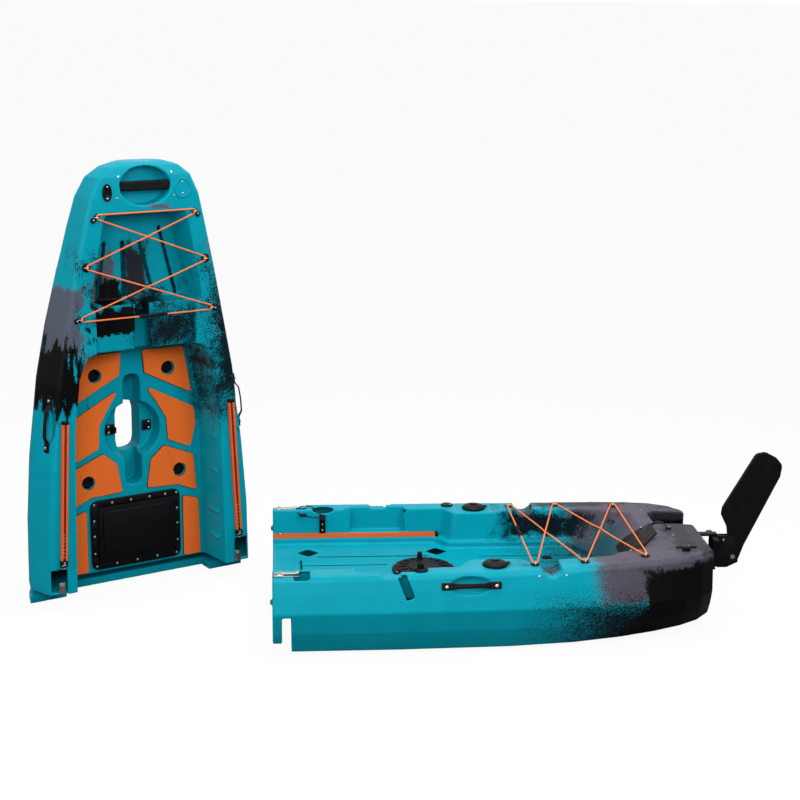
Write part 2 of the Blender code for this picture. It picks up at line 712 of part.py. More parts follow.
def turned(name, profile, centre, material, steps=32):
    """A turned piece from its (radius, height) profile, which starts and ends on the axis."""
    mesh = bpy.data.meshes.new(name)
    edges = [(i, i + 1) for i in range(len(profile) - 1)]
    if profile[0][0] > 0:
        edges.append((len(profile) - 1, 0))
    mesh.from_pydata([(r, 0.0, z) for r, z in profile], edges, [])
    obj = bpy.data.objects.new(name, mesh)
    PART.objects.link(obj)
    spin = obj.modifiers.new("turned", "SCREW")
    spin.steps = spin.render_steps = steps
    spin.use_merge_vertices = True
    spin.merge_threshold = 0.00001
    evaluated(obj)
    bm = bmesh.new()
    bm.from_mesh(obj.data)
    bpy.data.objects.remove(obj, do_unlink=True)
    bmesh.ops.translate(bm, vec=centre, verts=bm.verts)
    return add(name, bm, material)


def carry_handle(name, stations, sign, d, side):
    """Strap handle: two feet on the hull side and a raised grip."""
    half = HANDLE_LENGTH / 2
    ends = [side_point(stations, sign, d + step, HANDLE_HEIGHT, side) for step in (-half, half)]
    along = (ends[1][0] - ends[0][0]).normalized()
    normal = ends[0][1] + ends[1][1]
    normal = (normal - along * normal.dot(along)).normalized()
    across = normal.cross(along)
    middle = (ends[0][0] + ends[1][0]) / 2
    between = [row[0] for row in stations if d - half < row[0] < d + half]
    bulges = [(side_point(stations, sign, place, HANDLE_HEIGHT, side)[0] - middle).dot(normal) for place in between]
    middle = middle + normal * (HANDLE_LIFT + max(bulges, default=0.0))
    place = Matrix((along, across, normal)).transposed().to_4x4()
    place.translation = middle
    foot = half - HANDLE_FOOT
    grip = foot - HANDLE_SLOPE
    stops = [(-half, 0.0, 1.0), (-foot, 0.0, 1.0), (-grip, HANDLE_RISE * 0.85, 0.72),
             (0.0, HANDLE_RISE, 0.66), (grip, HANDLE_RISE * 0.85, 0.72), (foot, 0.0, 1.0), (half, 0.0, 1.0)]
    rings = []
    for x, rise, share in stops:
        w = HANDLE_WIDTH / 2 * share
        rings.append([(x, -w, rise), (x, w, rise), (x, w, rise + HANDLE_THICK * 0.6),
                      (x, w - 0.003, rise + HANDLE_THICK), (x, 0.003 - w, rise + HANDLE_THICK),
                      (x, -w, rise + HANDLE_THICK * 0.6)])
    bm = loft(rings)
    bmesh.ops.transform(bm, matrix=place, verts=bm.verts)
    return add(name, bm, BLACK)


def gear_track(name, start, end, base):
    """Slotted accessory rail between two deck points."""
    a, b = Vector(start), Vector(end)
    length = (b - a).length
    w, h, t, s = TRACK_WIDTH / 2, TRACK_HEIGHT, TRACK_WALL, TRACK_SLOT / 2
    outline = [(-w, 0), (w, 0), (w, h), (s, h), (s, h - t), (w - t, h - t), (w - t, t),
               (t - w, t), (t - w, h - t), (-s, h - t), (-s, h), (-w, h)]
    bm = prism(outline, 0.0, length)
    lie_down = Matrix(((0, 0, 1), (1, 0, 0), (0, 1, 0))).to_4x4()
    turn = Matrix.Rotation(math.atan2(b.y - a.y, b.x - a.x), 4, "Z")
    bmesh.ops.transform(bm, matrix=Matrix.Translation((a.x, a.y, base)) @ turn @ lie_down, verts=bm.verts)
    return add(name, bm, ANODISED)


def eye_base(stations, d):
    """Height of the seat of a pad eye at a distance from the joint."""
    return deck_z(stations, d - EYE_FOOT[1] / 2, d + EYE_FOOT[1] / 2)


def pad_eye(name, x, y, base):
    """Arch on a small foot; the shock cord runs under it along the boat."""
    along, thick = EYE_FOOT[1] / 2, EYE_FOOT[2]
    foot = add(name, block((x - along, y - EYE_FOOT[0] / 2, base),
                           (x + along, y + EYE_FOOT[0] / 2, base + thick)), BLACK)
    steps = 8
    points = []
    for k in range(steps + 1):
        a = math.pi * k / steps
        points.append((x, y + EYE_RING * math.cos(a), base + thick - 0.0010 + EYE_RING * math.sin(a)))
    arch = tube(f"{name}_arch", points, EYE_WIRE, BLACK, sides=1)
    combine(foot, [arch], "UNION")
    bpy.data.objects.remove(arch, do_unlink=True)
    return foot


def lacing(name, anchors, stations, sign):
    """One closed loop of shock cord through the pad eyes, in their order."""
    lift = EYE_FOOT[2] + CORD_R + 0.0006
    bend = 0.009
    stops = [Vector((x, y, eye_base(stations, sign * x) + lift)) for x, y in anchors]
    count = len(stops)
    lines = []
    for i, stop in enumerate(stops):
        ahead = 1.0 if stops[(i + 1) % count].x > stops[i - 1].x else -1.0
        outward = 1.0 if stop.y > 0 else -1.0
        centre = stop - Vector((0.0, outward * bend, 0.0))
        turns = [math.radians(a) for a in (-70, -35, 0, 35, 70)]
        lines.append([centre + Vector((ahead * bend * math.sin(a), outward * bend * math.cos(a), 0.0))
                      for a in turns])
    runs = [(lines[i][-1], lines[(i + 1) % count][0]) for i in range(count)]
    points = []
    for i in range(count):
        points.extend(lines[i])
        start, end = runs[i]
        for j, other in enumerate(runs):
            hit = crossing(start, end, *other)
            if hit is not None:
                over = 1.0 if i < j else -1.0
                points.append(start.lerp(end, hit) + Vector((0.0, 0.0, over * (CORD_R + 2 * GAP))))
    return tube(name, points, CORD_R, CORD, cyclic=True)


def crossing(a, b, c, d):
    """How far along a-b it crosses c-d, seen from above, or None."""
    r, s = b - a, d - c
    cross = r.x * s.y - r.y * s.x
    if abs(cross) < 1e-9:
        return None
    t = ((c.x - a.x) * s.y - (c.y - a.y) * s.x) / cross
    u = ((c.x - a.x) * r.y - (c.y - a.y) * r.x) / cross
    return t if 0.05 < t < 0.95 and 0.05 < u < 0.95 else None


# Bow section's fittings

def three_places(first, share, last):
    """Two ends and a place between them at a share of the way."""
    return first, first + share * (last - first), last


BOW_EYES = tuple(zip(three_places(WELL_FRONT - 0.018, 0.4715, WELL_BACK - 0.012), (0.193, 0.235, 0.260)))
STERN_EYES = tuple(zip(three_places(PEDESTAL_BACK + 0.045, 0.4444, WELL_FOOT + 0.090), (0.336, 0.327, 0.292)))


def make_bow_fittings():
    deck = deck_z(BOW_STATIONS, RECESS_D - BAR_WIDTH, RECESS_D + BAR_WIDTH)
    share = (BAR_WIDTH - 2 * BAR_BEVEL) / RECESS_LENGTH
    reach = RECESS_HALF * math.sqrt(1 - share ** 2) * math.cos(math.pi / RECESS_SIDES) - GAP
    top = deck - BAR_SUNK
    add("bow_grab_bar", block((-RECESS_D - BAR_WIDTH / 2, -reach, top - BAR_THICK),
                              (-RECESS_D + BAR_WIDTH / 2, reach, top), BAR_BEVEL), BLACK)
    oval = [(DRAIN_HALF * math.cos(a) - DRAIN_D, DRAIN_WIDE * math.sin(a) - DRAIN_Y)
            for a in (math.tau * k / 20 for k in range(20))]
    base = deck_z(BOW_STATIONS, DRAIN_D - DRAIN_HALF, DRAIN_D + DRAIN_HALF)
    add("bow_drain_fitting", prism(oval, base, base + DRAIN_THICK), BLACK)

    ahead = COCKPIT_LENGTH - PAD_MARGIN
    behind = HATCH_FRONT + PAD_MARGIN
    beside = HATCH_HALF + 0.013
    back = HATCH_BACK - 0.006
    pads = {
        "fore": [(ahead, 0.042), (ahead, 0.216), (SOCKET_D + 0.117, 0.250), (SOCKET_D + 0.221, 0.050)],
        "mid": [(SOCKET_D + 0.170, 0.052), (SOCKET_D + 0.062, 0.256), (SOCKET_D - 0.010, 0.262),
                (SOCKET_D - 0.100, 0.238), (SOCKET_D - 0.057, 0.144), (SOCKET_D + 0.033, 0.138),
                (SOCKET_D + 0.095, 0.102)],
        "aft": [(SOCKET_D - 0.077, 0.126), (SOCKET_D - 0.130, 0.252), (behind - 0.039, 0.264),
                (behind - 0.003, 0.182), (behind + 0.003, 0.050), (SOCKET_D - 0.125, 0.070)],
        "side": [(HATCH_FRONT - 0.030, beside), (HATCH_FRONT - 0.054, 0.270), (back, 0.276), (back, beside)],
    }
    holes = {"fore": (ahead - 0.083, 0.150), "aft": (behind + 0.059, 0.190)}
    for label, outline in pads.items():
        for side, word in zip(SIDES, ("port", "starboard")):
            flat_pad = rounded([(-d, side * y) for d, y in outline], PAD_CORNER)
            pad = add(f"floor_pad_{label}_{word}",
                      prism(flat_pad, COCKPIT_FLOOR + GAP, COCKPIT_FLOOR + GAP + PAD_THICK), FOAM)
            if label in holes:
                d, y = holes[label]
                cut(pad, drum((-d, side * y, COCKPIT_FLOOR), PAD_HOLE, 0.05, segments=20))

    for side, word in zip(SIDES, ("port", "starboard")):
        y0, y1 = sorted((side * (THROUGH_HALF + 0.008), side * (THROUGH_HALF + 0.044)))
        low = SOCKET_FLOOR + GAP
        clip = add(f"drive_clip_{word}", block((-SOCKET_D - 0.020, y0, low), (-SOCKET_D + 0.020, y1, low + 0.010),
                                               0.002), BLACK)
        y0, y1 = sorted((side * (THROUGH_HALF + 0.008), side * (THROUGH_HALF + 0.022)))
        join(clip, block((-SOCKET_D - 0.012, y0, low + 0.005), (-SOCKET_D + 0.012, y1, low + 0.030), 0.002))

        carry_handle(f"bow_carry_handle_{word}", BOW_STATIONS, -1, BOW_HANDLE_D, side)
        gear_track(f"bow_gear_track_{word}", (-BOW_TRACK_FRONT, side * (BOW_TRACK_Y - BOW_TRACK_LEAN)),
                   (-BOW_TRACK_BACK, side * BOW_TRACK_Y), deck_z(BOW_STATIONS, BOW_TRACK_BACK, BOW_TRACK_FRONT))
        rim = SHEER - LATCH_STEP + GAP
        y0, y1 = side * LATCH_Y - 0.012, side * LATCH_Y + 0.012
        keeper = add(f"latch_keeper_{word}", block((-0.046, y0, rim), (-0.003, y1, rim + LATCH_PLATE)), STEEL)
        join(keeper, block((-0.034, y0 + 0.004, rim + 0.001), (-0.028, y1 - 0.004, rim + 0.011)),
             block((-0.040, y0 + 0.004, rim + 0.008), (-0.028, y1 - 0.004, rim + 0.011)))

    low = COCKPIT_FLOOR + GAP
    top = low + HATCH_FRAME
    inner = HATCH_HALF - HATCH_BORDER
    outer_line = mirrored([(HATCH_BACK, HATCH_HALF), (HATCH_FRONT, HATCH_HALF)])
    inner_line = mirrored([(HATCH_BACK + HATCH_BORDER, inner), (HATCH_FRONT - HATCH_BORDER, inner)])
    frame = add("bow_hatch_frame", prism(rounded(bow_x(outer_line), 0.03), low, top), BLACK)
    cut(frame, prism(rounded(bow_x(inner_line), 0.02), low - 0.01, top + 0.01))
    front = HATCH_FRONT - HATCH_BORDER + LID_LAP
    back = HATCH_BACK + HATCH_BORDER - LID_LAP
    half = inner + LID_LAP
    lid_line = mirrored([(back, half), (front, half)])
    panel_line = mirrored([(back + 0.018, half - 0.018), (front - 0.018, half - 0.018)])
    lid = add("bow_hatch_lid", prism(rounded(bow_x(lid_line), 0.02), top + GAP, top + GAP + LID_THICK), BLACK)
    join(lid, prism(rounded(bow_x(panel_line), 0.02), top + LID_THICK / 2, top + GAP + LID_THICK + LID_PANEL))
    set_origin(lid, (-front - 0.001, 0.0, top + GAP + LID_THICK))

    names = ("top", "mid", "low")
    for (d, y), label in zip(BOW_EYES, names):
        for side, word in zip(SIDES, ("port", "starboard")):
            pad_eye(f"bow_pad_eye_{label}_{word}", -d, side * y, eye_base(BOW_STATIONS, d))
    (d1, y1), (d2, y2), (d3, y3) = BOW_EYES
    loop = [(-d3, -y3), (-d3, y3), (-d2, -y2), (-d1, y1), (-d1, -y1), (-d2, y2)]
    lacing("bow_shock_cord", loop, BOW_STATIONS, -1)


# Stern section's fittings

def make_stern_hatches():
    low = SEAT_FLOOR + GAP
    ring = [(ROUND_HATCH_R, low), (ROUND_HATCH_R, low + ROUND_RING - 0.003),
            (ROUND_HATCH_R - 0.003, low + ROUND_RING), (ROUND_HATCH_HOLE, low + ROUND_RING), (ROUND_HATCH_HOLE, low)]
    turned("stern_hatch_ring", [(r, z) for r, z in ring][::-1], (HATCH_X, 0, 0), BLACK, 40)
    seat = low + ROUND_RING + GAP
    plug = ROUND_HATCH_HOLE - 2 * GAP
    lid = turned("stern_hatch_lid",
                 [(0, seat + ROUND_LID), (0.060, seat + ROUND_LID), (0.062, seat + 0.006),
                  (ROUND_LID_R - 0.004, seat + 0.006), (ROUND_LID_R, seat + 0.003), (ROUND_LID_R, seat),
                  (plug, seat), (plug, seat - 0.008), (0, seat - 0.008)], (HATCH_X, 0, 0), BLACK, 40)
    set_origin(lid, (HATCH_X, 0.0, seat))
    for side, word in zip(SIDES, ("port", "starboard")):
        flange = deck_z(STERN_STATIONS, ROD_X - ROD_FLANGE_R, ROD_X + ROD_FLANGE_R)
        outer = ROD_BORE + ROD_TUBE
        bottom = flange - ROD_DEPTH * 0.75
        cup = [(0, bottom + ROD_TUBE), (ROD_BORE, bottom + ROD_TUBE), (ROD_BORE, flange + ROD_FLANGE),
               (ROD_FLANGE_R, flange + ROD_FLANGE), (ROD_FLANGE_R, flange), (outer, flange),
               (outer, bottom), (0, bottom)]
        turned(f"rod_holder_{word}", cup, (ROD_X, side * ROD_Y, 0), BLACK, 28)
        seat = flange + ROD_FLANGE + GAP
        plug = ROD_BORE - 2 * GAP
        cap = [(0, seat + ROD_LID), (0.020, seat + ROD_LID), (ROD_FLANGE_R - 0.008, seat + 0.006),
               (ROD_FLANGE_R - 0.003, seat + 0.002), (ROD_FLANGE_R - 0.003, seat), (plug, seat),
               (plug, seat - 0.012), (0, seat - 0.012)]
        lid = turned(f"rod_holder_lid_{word}", cap, (ROD_X, side * ROD_Y, 0), BLACK, 28)
        set_origin(lid, (ROD_X, side * ROD_Y, seat))


def make_latch(side, word):
    """Over-centre toggle: base plate with ears and pin, and the lever on it."""
    rim = SHEER - LATCH_STEP + GAP
    y = side * LATCH_Y
    plate = rim + LATCH_PLATE
    pivot = (0.026, y, plate + 0.0062)
    base = add(f"latch_base_{word}", block((0.006, y - 0.0125, rim), (0.092, y + 0.0125, plate)), STEEL)
    ears = [block((0.019, y + w - 0.0012, rim + 0.001), (0.033, y + w + 0.0012, plate + 0.011))
            for w in (-0.0105, 0.0105)]
    join(base, *ears, drum(pivot, LATCH_PIN, 0.023, "Y", 12))
    lever = add(f"latch_lever_{word}", drum(pivot, 0.0048, 0.0170, "Y", 16), STEEL)
    join(lever, block((pivot[0], y - 0.0085, pivot[2] - 0.0002), (0.086, y + 0.0085, pivot[2] + 0.0032), 0.001),
         block((0.080, y - 0.0085, pivot[2] + 0.001), (0.094, y + 0.0085, pivot[2] + 0.0060), 0.001))
    cut(lever, drum(pivot, LATCH_PIN + 2 * GAP, 0.05, "Y", 12))
    set_origin(lever, pivot)


def make_steering_lever():
    base = deck_z(STERN_STATIONS, LEVER_X - LEVER_BASE_R, LEVER_X + LEVER_BASE_R)
    y = -LEVER_Y
    stud = 0.005
    turned("steering_base", [(0, base + 0.030), (stud, base + 0.030), (stud, base + LEVER_BASE),
                             (LEVER_BASE_R - 0.007, base + LEVER_BASE), (LEVER_BASE_R, base + 0.004),
                             (LEVER_BASE_R, base), (0, base)], (LEVER_X, y, 0), BLACK, 24)
    low = base + LEVER_BASE + GAP
    lever = add("steering_lever", drum((LEVER_X, y, low + 0.008), 0.0125, 0.016, segments=20), BLACK)
    arm = STEER_ARM
    join(lever, block((LEVER_X - 0.007, y, low + 0.003), (LEVER_X + 0.007, y + arm, low + 0.012), 0.002),
         drum((LEVER_X, y + arm, low + 0.021), 0.011, 0.036, segments=16, top=0.008))
    cut(lever, drum((LEVER_X, y, low + 0.008), stud + GAP, 0.05, segments=24))
    set_origin(lever, (LEVER_X, y, low))


def make_deck_fittings():
    """Bracket, cover plate, strap handle and cleat of the stern section."""
    wall = LEDGE_HALF - 0.0043
    bracket = add("paddle_bracket", block((0.182, wall - 0.005, LEDGE + TRACK_HEIGHT + 2 * GAP),
                                          (0.206, wall, SHEER - 0.020), 0.001), BLACK)
    join(bracket, block((0.184, wall - 0.026, SHEER - 0.034), (0.204, wall - 0.002, SHEER - 0.028), 0.001))

    six = [(0.002, 0.020), (0.050, 0.034), (0.160, -0.010), (0.160, -0.125), (0.040, -0.160), (0.002, -0.115)]
    plate = prism(rounded(six, 0.008), 0.0, 0.005)
    start = 0.068
    foot = Vector((WELL_FOOT + start * math.cos(WELL_SLOPE), 0.0, LEDGE + start * math.sin(WELL_SLOPE)))
    normal = Vector((-math.sin(WELL_SLOPE), 0.0, math.cos(WELL_SLOPE)))
    place = Matrix.Translation(foot + normal * GAP) @ Matrix.Rotation(-WELL_SLOPE, 4, "Y")
    bmesh.ops.transform(plate, matrix=place, verts=plate.verts)
    add("aft_cover_plate", plate, BLACK)

    deck = deck_z(STERN_STATIONS, STRAP_X - STRAP_HALF, STRAP_X + STRAP_HALF)
    foot, grip = STRAP_HALF - STRAP_FOOT, STRAP_HALF - STRAP_FOOT - STRAP_SLOPE
    stops = [(-STRAP_HALF, 0.0), (-foot, 0.0), (-grip, STRAP_RISE), (0.0, STRAP_RISE + 0.003),
             (grip, STRAP_RISE), (foot, 0.0), (STRAP_HALF, 0.0)]
    line = [(STRAP_X + x, deck + up) for x, up in stops]
    line += [(STRAP_X + x, deck + up + STRAP_THICK) for x, up in reversed(stops)]
    add("stern_strap_handle", panel(line, -STRAP_WIDTH / 2, STRAP_WIDTH / 2), BLACK)

    x, y = CLEAT_X, -CLEAT_Y
    deck = deck_z(STERN_STATIONS, x - CLEAT_HORN, x + CLEAT_HORN)
    cleat = add("stern_cleat", block((x - CLEAT_FOOT, y - 0.010, deck), (x + CLEAT_FOOT, y + 0.010, deck + 0.016),
                                     0.002), BLACK)
    join(cleat, block((x - CLEAT_HORN, y - 0.006, deck + 0.009), (x + CLEAT_HORN, y + 0.006, deck + CLEAT_HIGH),
                      0.003))


def blade_outline():
    """Blade seen from the side: (along, across) from its pivot, in metres."""
    half = BLADE_WIDTH
    return [(-0.026, 0.018), (-0.026, -0.018), (-0.004, -0.030), (0.060, -0.020), (BLADE_LENGTH - 0.055, -0.006),
            (BLADE_LENGTH - 0.014, 0.010), (BLADE_LENGTH, 0.045), (BLADE_LENGTH, half - 0.042),
            (BLADE_LENGTH - 0.022, half - 0.014), (0.150, half - 0.006), (0.122, half - 0.016), (0.090, 0.075),
            (0.030, 0.034)]


def make_rudder():
    transom = STERN_LENGTH + GAP
    bracket = add("rudder_bracket", block((transom, -0.035, LUG_LOW + 0.004), (transom + 0.010, 0.035, LUG_HIGH - 0.004),
                                          0.002), BLACK)
    lugs = [block((transom + 0.005, -0.016, z), (PIN_X + 0.013, 0.016, z + LUG))
            for z in (LUG_LOW, LUG_HIGH - LUG)]
    join(bracket, *lugs, drum((PIN_X, 0, (LUG_LOW + LUG_HIGH) / 2), PIN_R, LUG_HIGH - LUG_LOW, segments=20))

    low = LUG_LOW + LUG + GAP
    high = LUG_HIGH - LUG - GAP
    inner = BLADE_THICK / 2 + GAP
    head = add("rudder_head", drum((PIN_X, 0, (low + high) / 2), 0.0155, high - low, segments=24), BLACK)
    web = PIN_X + 0.024
    side_line = [(PIN_X + 0.004, high), (PIN_X + 0.004, low + 0.012), (PIN_X + 0.020, low), (HEAD_END - 0.030, low),
                 (HEAD_END + 0.012, low + 0.020), (HEAD_END + 0.012, BLADE_Z + 0.022), (HEAD_END - 0.012, high)]
    cheeks = [panel(side_line, y, y + CHEEK) for y in (-inner - CHEEK, inner)]
    join(head, *cheeks, block((PIN_X + 0.002, -inner - 0.002, low + 0.001), (web, inner + 0.002, high - 0.001)),
         block((PIN_X - 0.011, -STEER_ARM_HALF, high - 0.0125), (PIN_X + 0.011, STEER_ARM_HALF, high - 0.0005), 0.003))
    cut(head, drum((PIN_X, 0, (low + high) / 2), PIN_R + PIN_PLAY, 0.3, segments=20),
        drum((BLADE_X, 0, BLADE_Z), BOLT_R + BOLT_PLAY, 0.1, "Y", 16))
    set_origin(head, (PIN_X, 0, low))

    pivot = Vector((BLADE_X, 0, BLADE_Z))
    blade_side = panel(rounded(blade_outline(), 0.02, 2), -BLADE_THICK / 2, BLADE_THICK / 2)
    raised = Matrix.Translation(pivot) @ Matrix.Rotation(-BLADE_ANGLE, 4, "Y")
    bmesh.ops.transform(blade_side, matrix=raised, verts=blade_side.verts)
    blade = add("rudder_blade", blade_side, BLACK)
    cut(blade, drum(pivot, BOLT_R + BOLT_PLAY, 0.1, "Y", 16))
    set_origin(blade, pivot)

    reach = inner + CHEEK + GAP
    bolt = add("blade_bolt", drum(pivot, BOLT_R, 2 * reach + 0.008, "Y", 16), STEEL)
    join(bolt, drum(pivot - Vector((0, reach + 0.003, 0)), 0.0095, 0.006, "Y", 6),
         drum(pivot + Vector((0, reach + 0.003, 0)), 0.0095, 0.006, "Y", 6))
    set_origin(bolt, pivot)


def make_stern_fittings():
    make_stern_hatches()
    for side, word in zip(SIDES, ("port", "starboard")):
        carry_handle(f"stern_carry_handle_{word}", STERN_STATIONS, 1, STERN_HANDLE_X, side)
        y = side * (FLOOR_HALF + STERN_TRACK_PLAY)
        gear_track(f"stern_gear_track_{word}", (STERN_TRACK_FRONT, y), (STERN_TRACK_BACK, y), LEDGE + GAP)
        make_latch(side, word)
        for (x, eye_y), label in zip(STERN_EYES, ("fore", "mid", "aft")):
            pad_eye(f"stern_pad_eye_{label}_{word}", x, side * eye_y, eye_base(STERN_STATIONS, x))
    (x1, y1), (x2, y2), (x3, y3) = STERN_EYES
    loop = [(x1, y1), (x1, -y1), (x2, y2), (x3, -y3), (x3, y3), (x2, -y2)]
    lacing("stern_shock_cord", loop, STERN_STATIONS, 1)
    make_steering_lever()
    make_deck_fittings()
    make_rudder()


def stand(pieces, name, place):
    """Parent a section's pieces to the empty that puts it on the floor."""
    empty = bpy.data.objects.new(name, None)
    PART.objects.link(empty)
    empty.matrix_world = place
    for piece in pieces:
        piece.parent = empty
    return empty


def footprint_centre(pieces):
    """Middle of the floor rectangle that all the pieces cover, seen from above."""
    bpy.context.view_layer.update()
    points = [piece.matrix_world @ vert.co for piece in pieces for vert in piece.data.vertices]
    middle = [(min(p[i] for p in points) + max(p[i] for p in points)) / 2 for i in (0, 1)]
    return Vector((*middle, 0.0))


def main():
    make_bow_hull()
    make_bow_fittings()
    bow = [obj for obj in PART.objects if obj.type == "MESH"]
    make_stern_hull()
    make_stern_fittings()
    stern = [obj for obj in PART.objects if obj.type == "MESH" and obj not in bow]

    c, s = math.cos(BOW_YAW), math.sin(BOW_YAW)
    turn = Matrix(((0, c, s), (0, s, -c), (-1, 0, 0)))
    deck_normal = Vector((s, -c, 0.0))
    foot = Vector((*BOW_PLACE, HOOK_REACH)) - deck_normal * SHEER
    sections = [stand(stern, "stern_section", Matrix()),
                stand(bow, "bow_section", Matrix.Translation(foot) @ turn.to_4x4())]
    centre = footprint_centre(stern + bow)
    for section in sections:
        section.location -= centre
    bpy.context.view_layer.update()


main()
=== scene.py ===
"""Looks of the modular pedal kayak: a bow section standing on its joint end
and a stern section lying on its bottom.  Metres, +Z up.

Each section has its own boat frame: +X aft, +Y starboard, +Z up from the
bottom, with the joint face at x = 0.  BOW and STERN place them in the world.
"""

import math

import bmesh
import bpy
from mathutils import Matrix, Vector


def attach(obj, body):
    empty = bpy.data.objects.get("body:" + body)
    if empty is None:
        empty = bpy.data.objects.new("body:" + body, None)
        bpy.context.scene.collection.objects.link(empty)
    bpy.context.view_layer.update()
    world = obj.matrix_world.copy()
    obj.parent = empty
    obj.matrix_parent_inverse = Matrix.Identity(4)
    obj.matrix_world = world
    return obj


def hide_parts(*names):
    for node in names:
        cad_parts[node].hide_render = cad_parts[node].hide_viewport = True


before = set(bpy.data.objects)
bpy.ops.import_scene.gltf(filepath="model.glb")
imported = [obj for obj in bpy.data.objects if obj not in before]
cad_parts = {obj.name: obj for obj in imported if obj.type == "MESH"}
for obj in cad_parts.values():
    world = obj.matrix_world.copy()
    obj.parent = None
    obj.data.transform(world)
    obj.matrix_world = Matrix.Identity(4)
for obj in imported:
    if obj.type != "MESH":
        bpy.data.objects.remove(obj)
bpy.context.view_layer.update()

STERN = Matrix.Translation((-0.48672, -0.11141, 0.0))
BOW_TURN = math.radians(28.0)
BOW = Matrix(((0.0, math.cos(BOW_TURN), math.sin(BOW_TURN), -1.08697),
              (0.0, math.sin(BOW_TURN), -math.cos(BOW_TURN), 0.39613),
              (-1.0, 0.0, 0.0, 0.066),
              (0.0, 0.0, 0.0, 1.0)))

# Heights and places in the boat frames that the CAD's source also uses
COCKPIT_FLOOR = 0.135
SEAT_FLOOR = 0.170
LEDGE = 0.196
SHEER = 0.303
DECK_GAP = 0.0003            # between a fitting and the deck under it
STERN_HATCH_X = 0.564
CORD_R = 0.0030
BOW_EYES = ((1.412, 0.193), (1.232, 0.235), (1.043, 0.260))
STERN_EYES = ((0.930, 0.336), (1.110, 0.327), (1.335, 0.292))
SIDES = ((-1, "port"), (1, "starboard"))


# Camera and light

def set_camera():
    """The photograph's viewing angle: pitched down, panned and rolled a little."""
    pitch, pan, roll = math.radians(14.204), math.radians(4.297), math.radians(-0.418)
    right = Vector((1.0, 0.0, 0.0))
    ahead = Vector((0.0, math.cos(pitch), -math.sin(pitch)))
    up = Vector((0.0, math.sin(pitch), math.cos(pitch)))
    panned = right * math.cos(pan) - ahead * math.sin(pan)
    ahead = ahead * math.cos(pan) + right * math.sin(pan)
    right = panned * math.cos(roll) + up * math.sin(roll)
    up = up * math.cos(roll) - panned * math.sin(roll)
    data = bpy.data.cameras.new("camera")
    data.sensor_width = 36.0
    data.lens = 72.03
    camera = bpy.data.objects.new("camera", data)
    turn = Matrix((right, up, -ahead)).transposed().to_4x4()
    camera.matrix_world = Matrix.Translation((-0.45602, -5.75551, 2.2577)) @ turn
    bpy.context.scene.collection.objects.link(camera)
    bpy.context.scene.camera = camera


def add_node(tree, kind, links=(), **settings):
    """A node with its settings: sockets are given as links and values by name."""
    node = tree.nodes.new(kind)
    for key, value in settings.items():
        setattr(node, key, value)
    for socket, source in dict(links).items():
        if isinstance(source, bpy.types.NodeSocket):
            tree.links.new(source, node.inputs[socket])
        else:
            node.inputs[socket].default_value = source
    return node


def linear(code, alpha=1.0):
    """An sRGB hex value as linear red, green, blue and alpha."""
    parts = [int(code[i:i + 2], 16) / 255 for i in (1, 3, 5)]
    return (*[c / 12.92 if c <= 0.04045 else ((c + 0.055) / 1.055) ** 2.4 for c in parts], alpha)


def add_lamp(name, place, aim, size, watts):
    data = bpy.data.lights.new(name, "AREA")
    data.shape = "RECTANGLE"
    data.size, data.size_y = size
    data.energy = watts
    lamp = bpy.data.objects.new(name, data)
    lamp.location = place
    lamp.rotation_euler = (Vector(aim) - Vector(place)).to_track_quat("-Z", "Y").to_euler()
    bpy.context.scene.collection.objects.link(lamp)


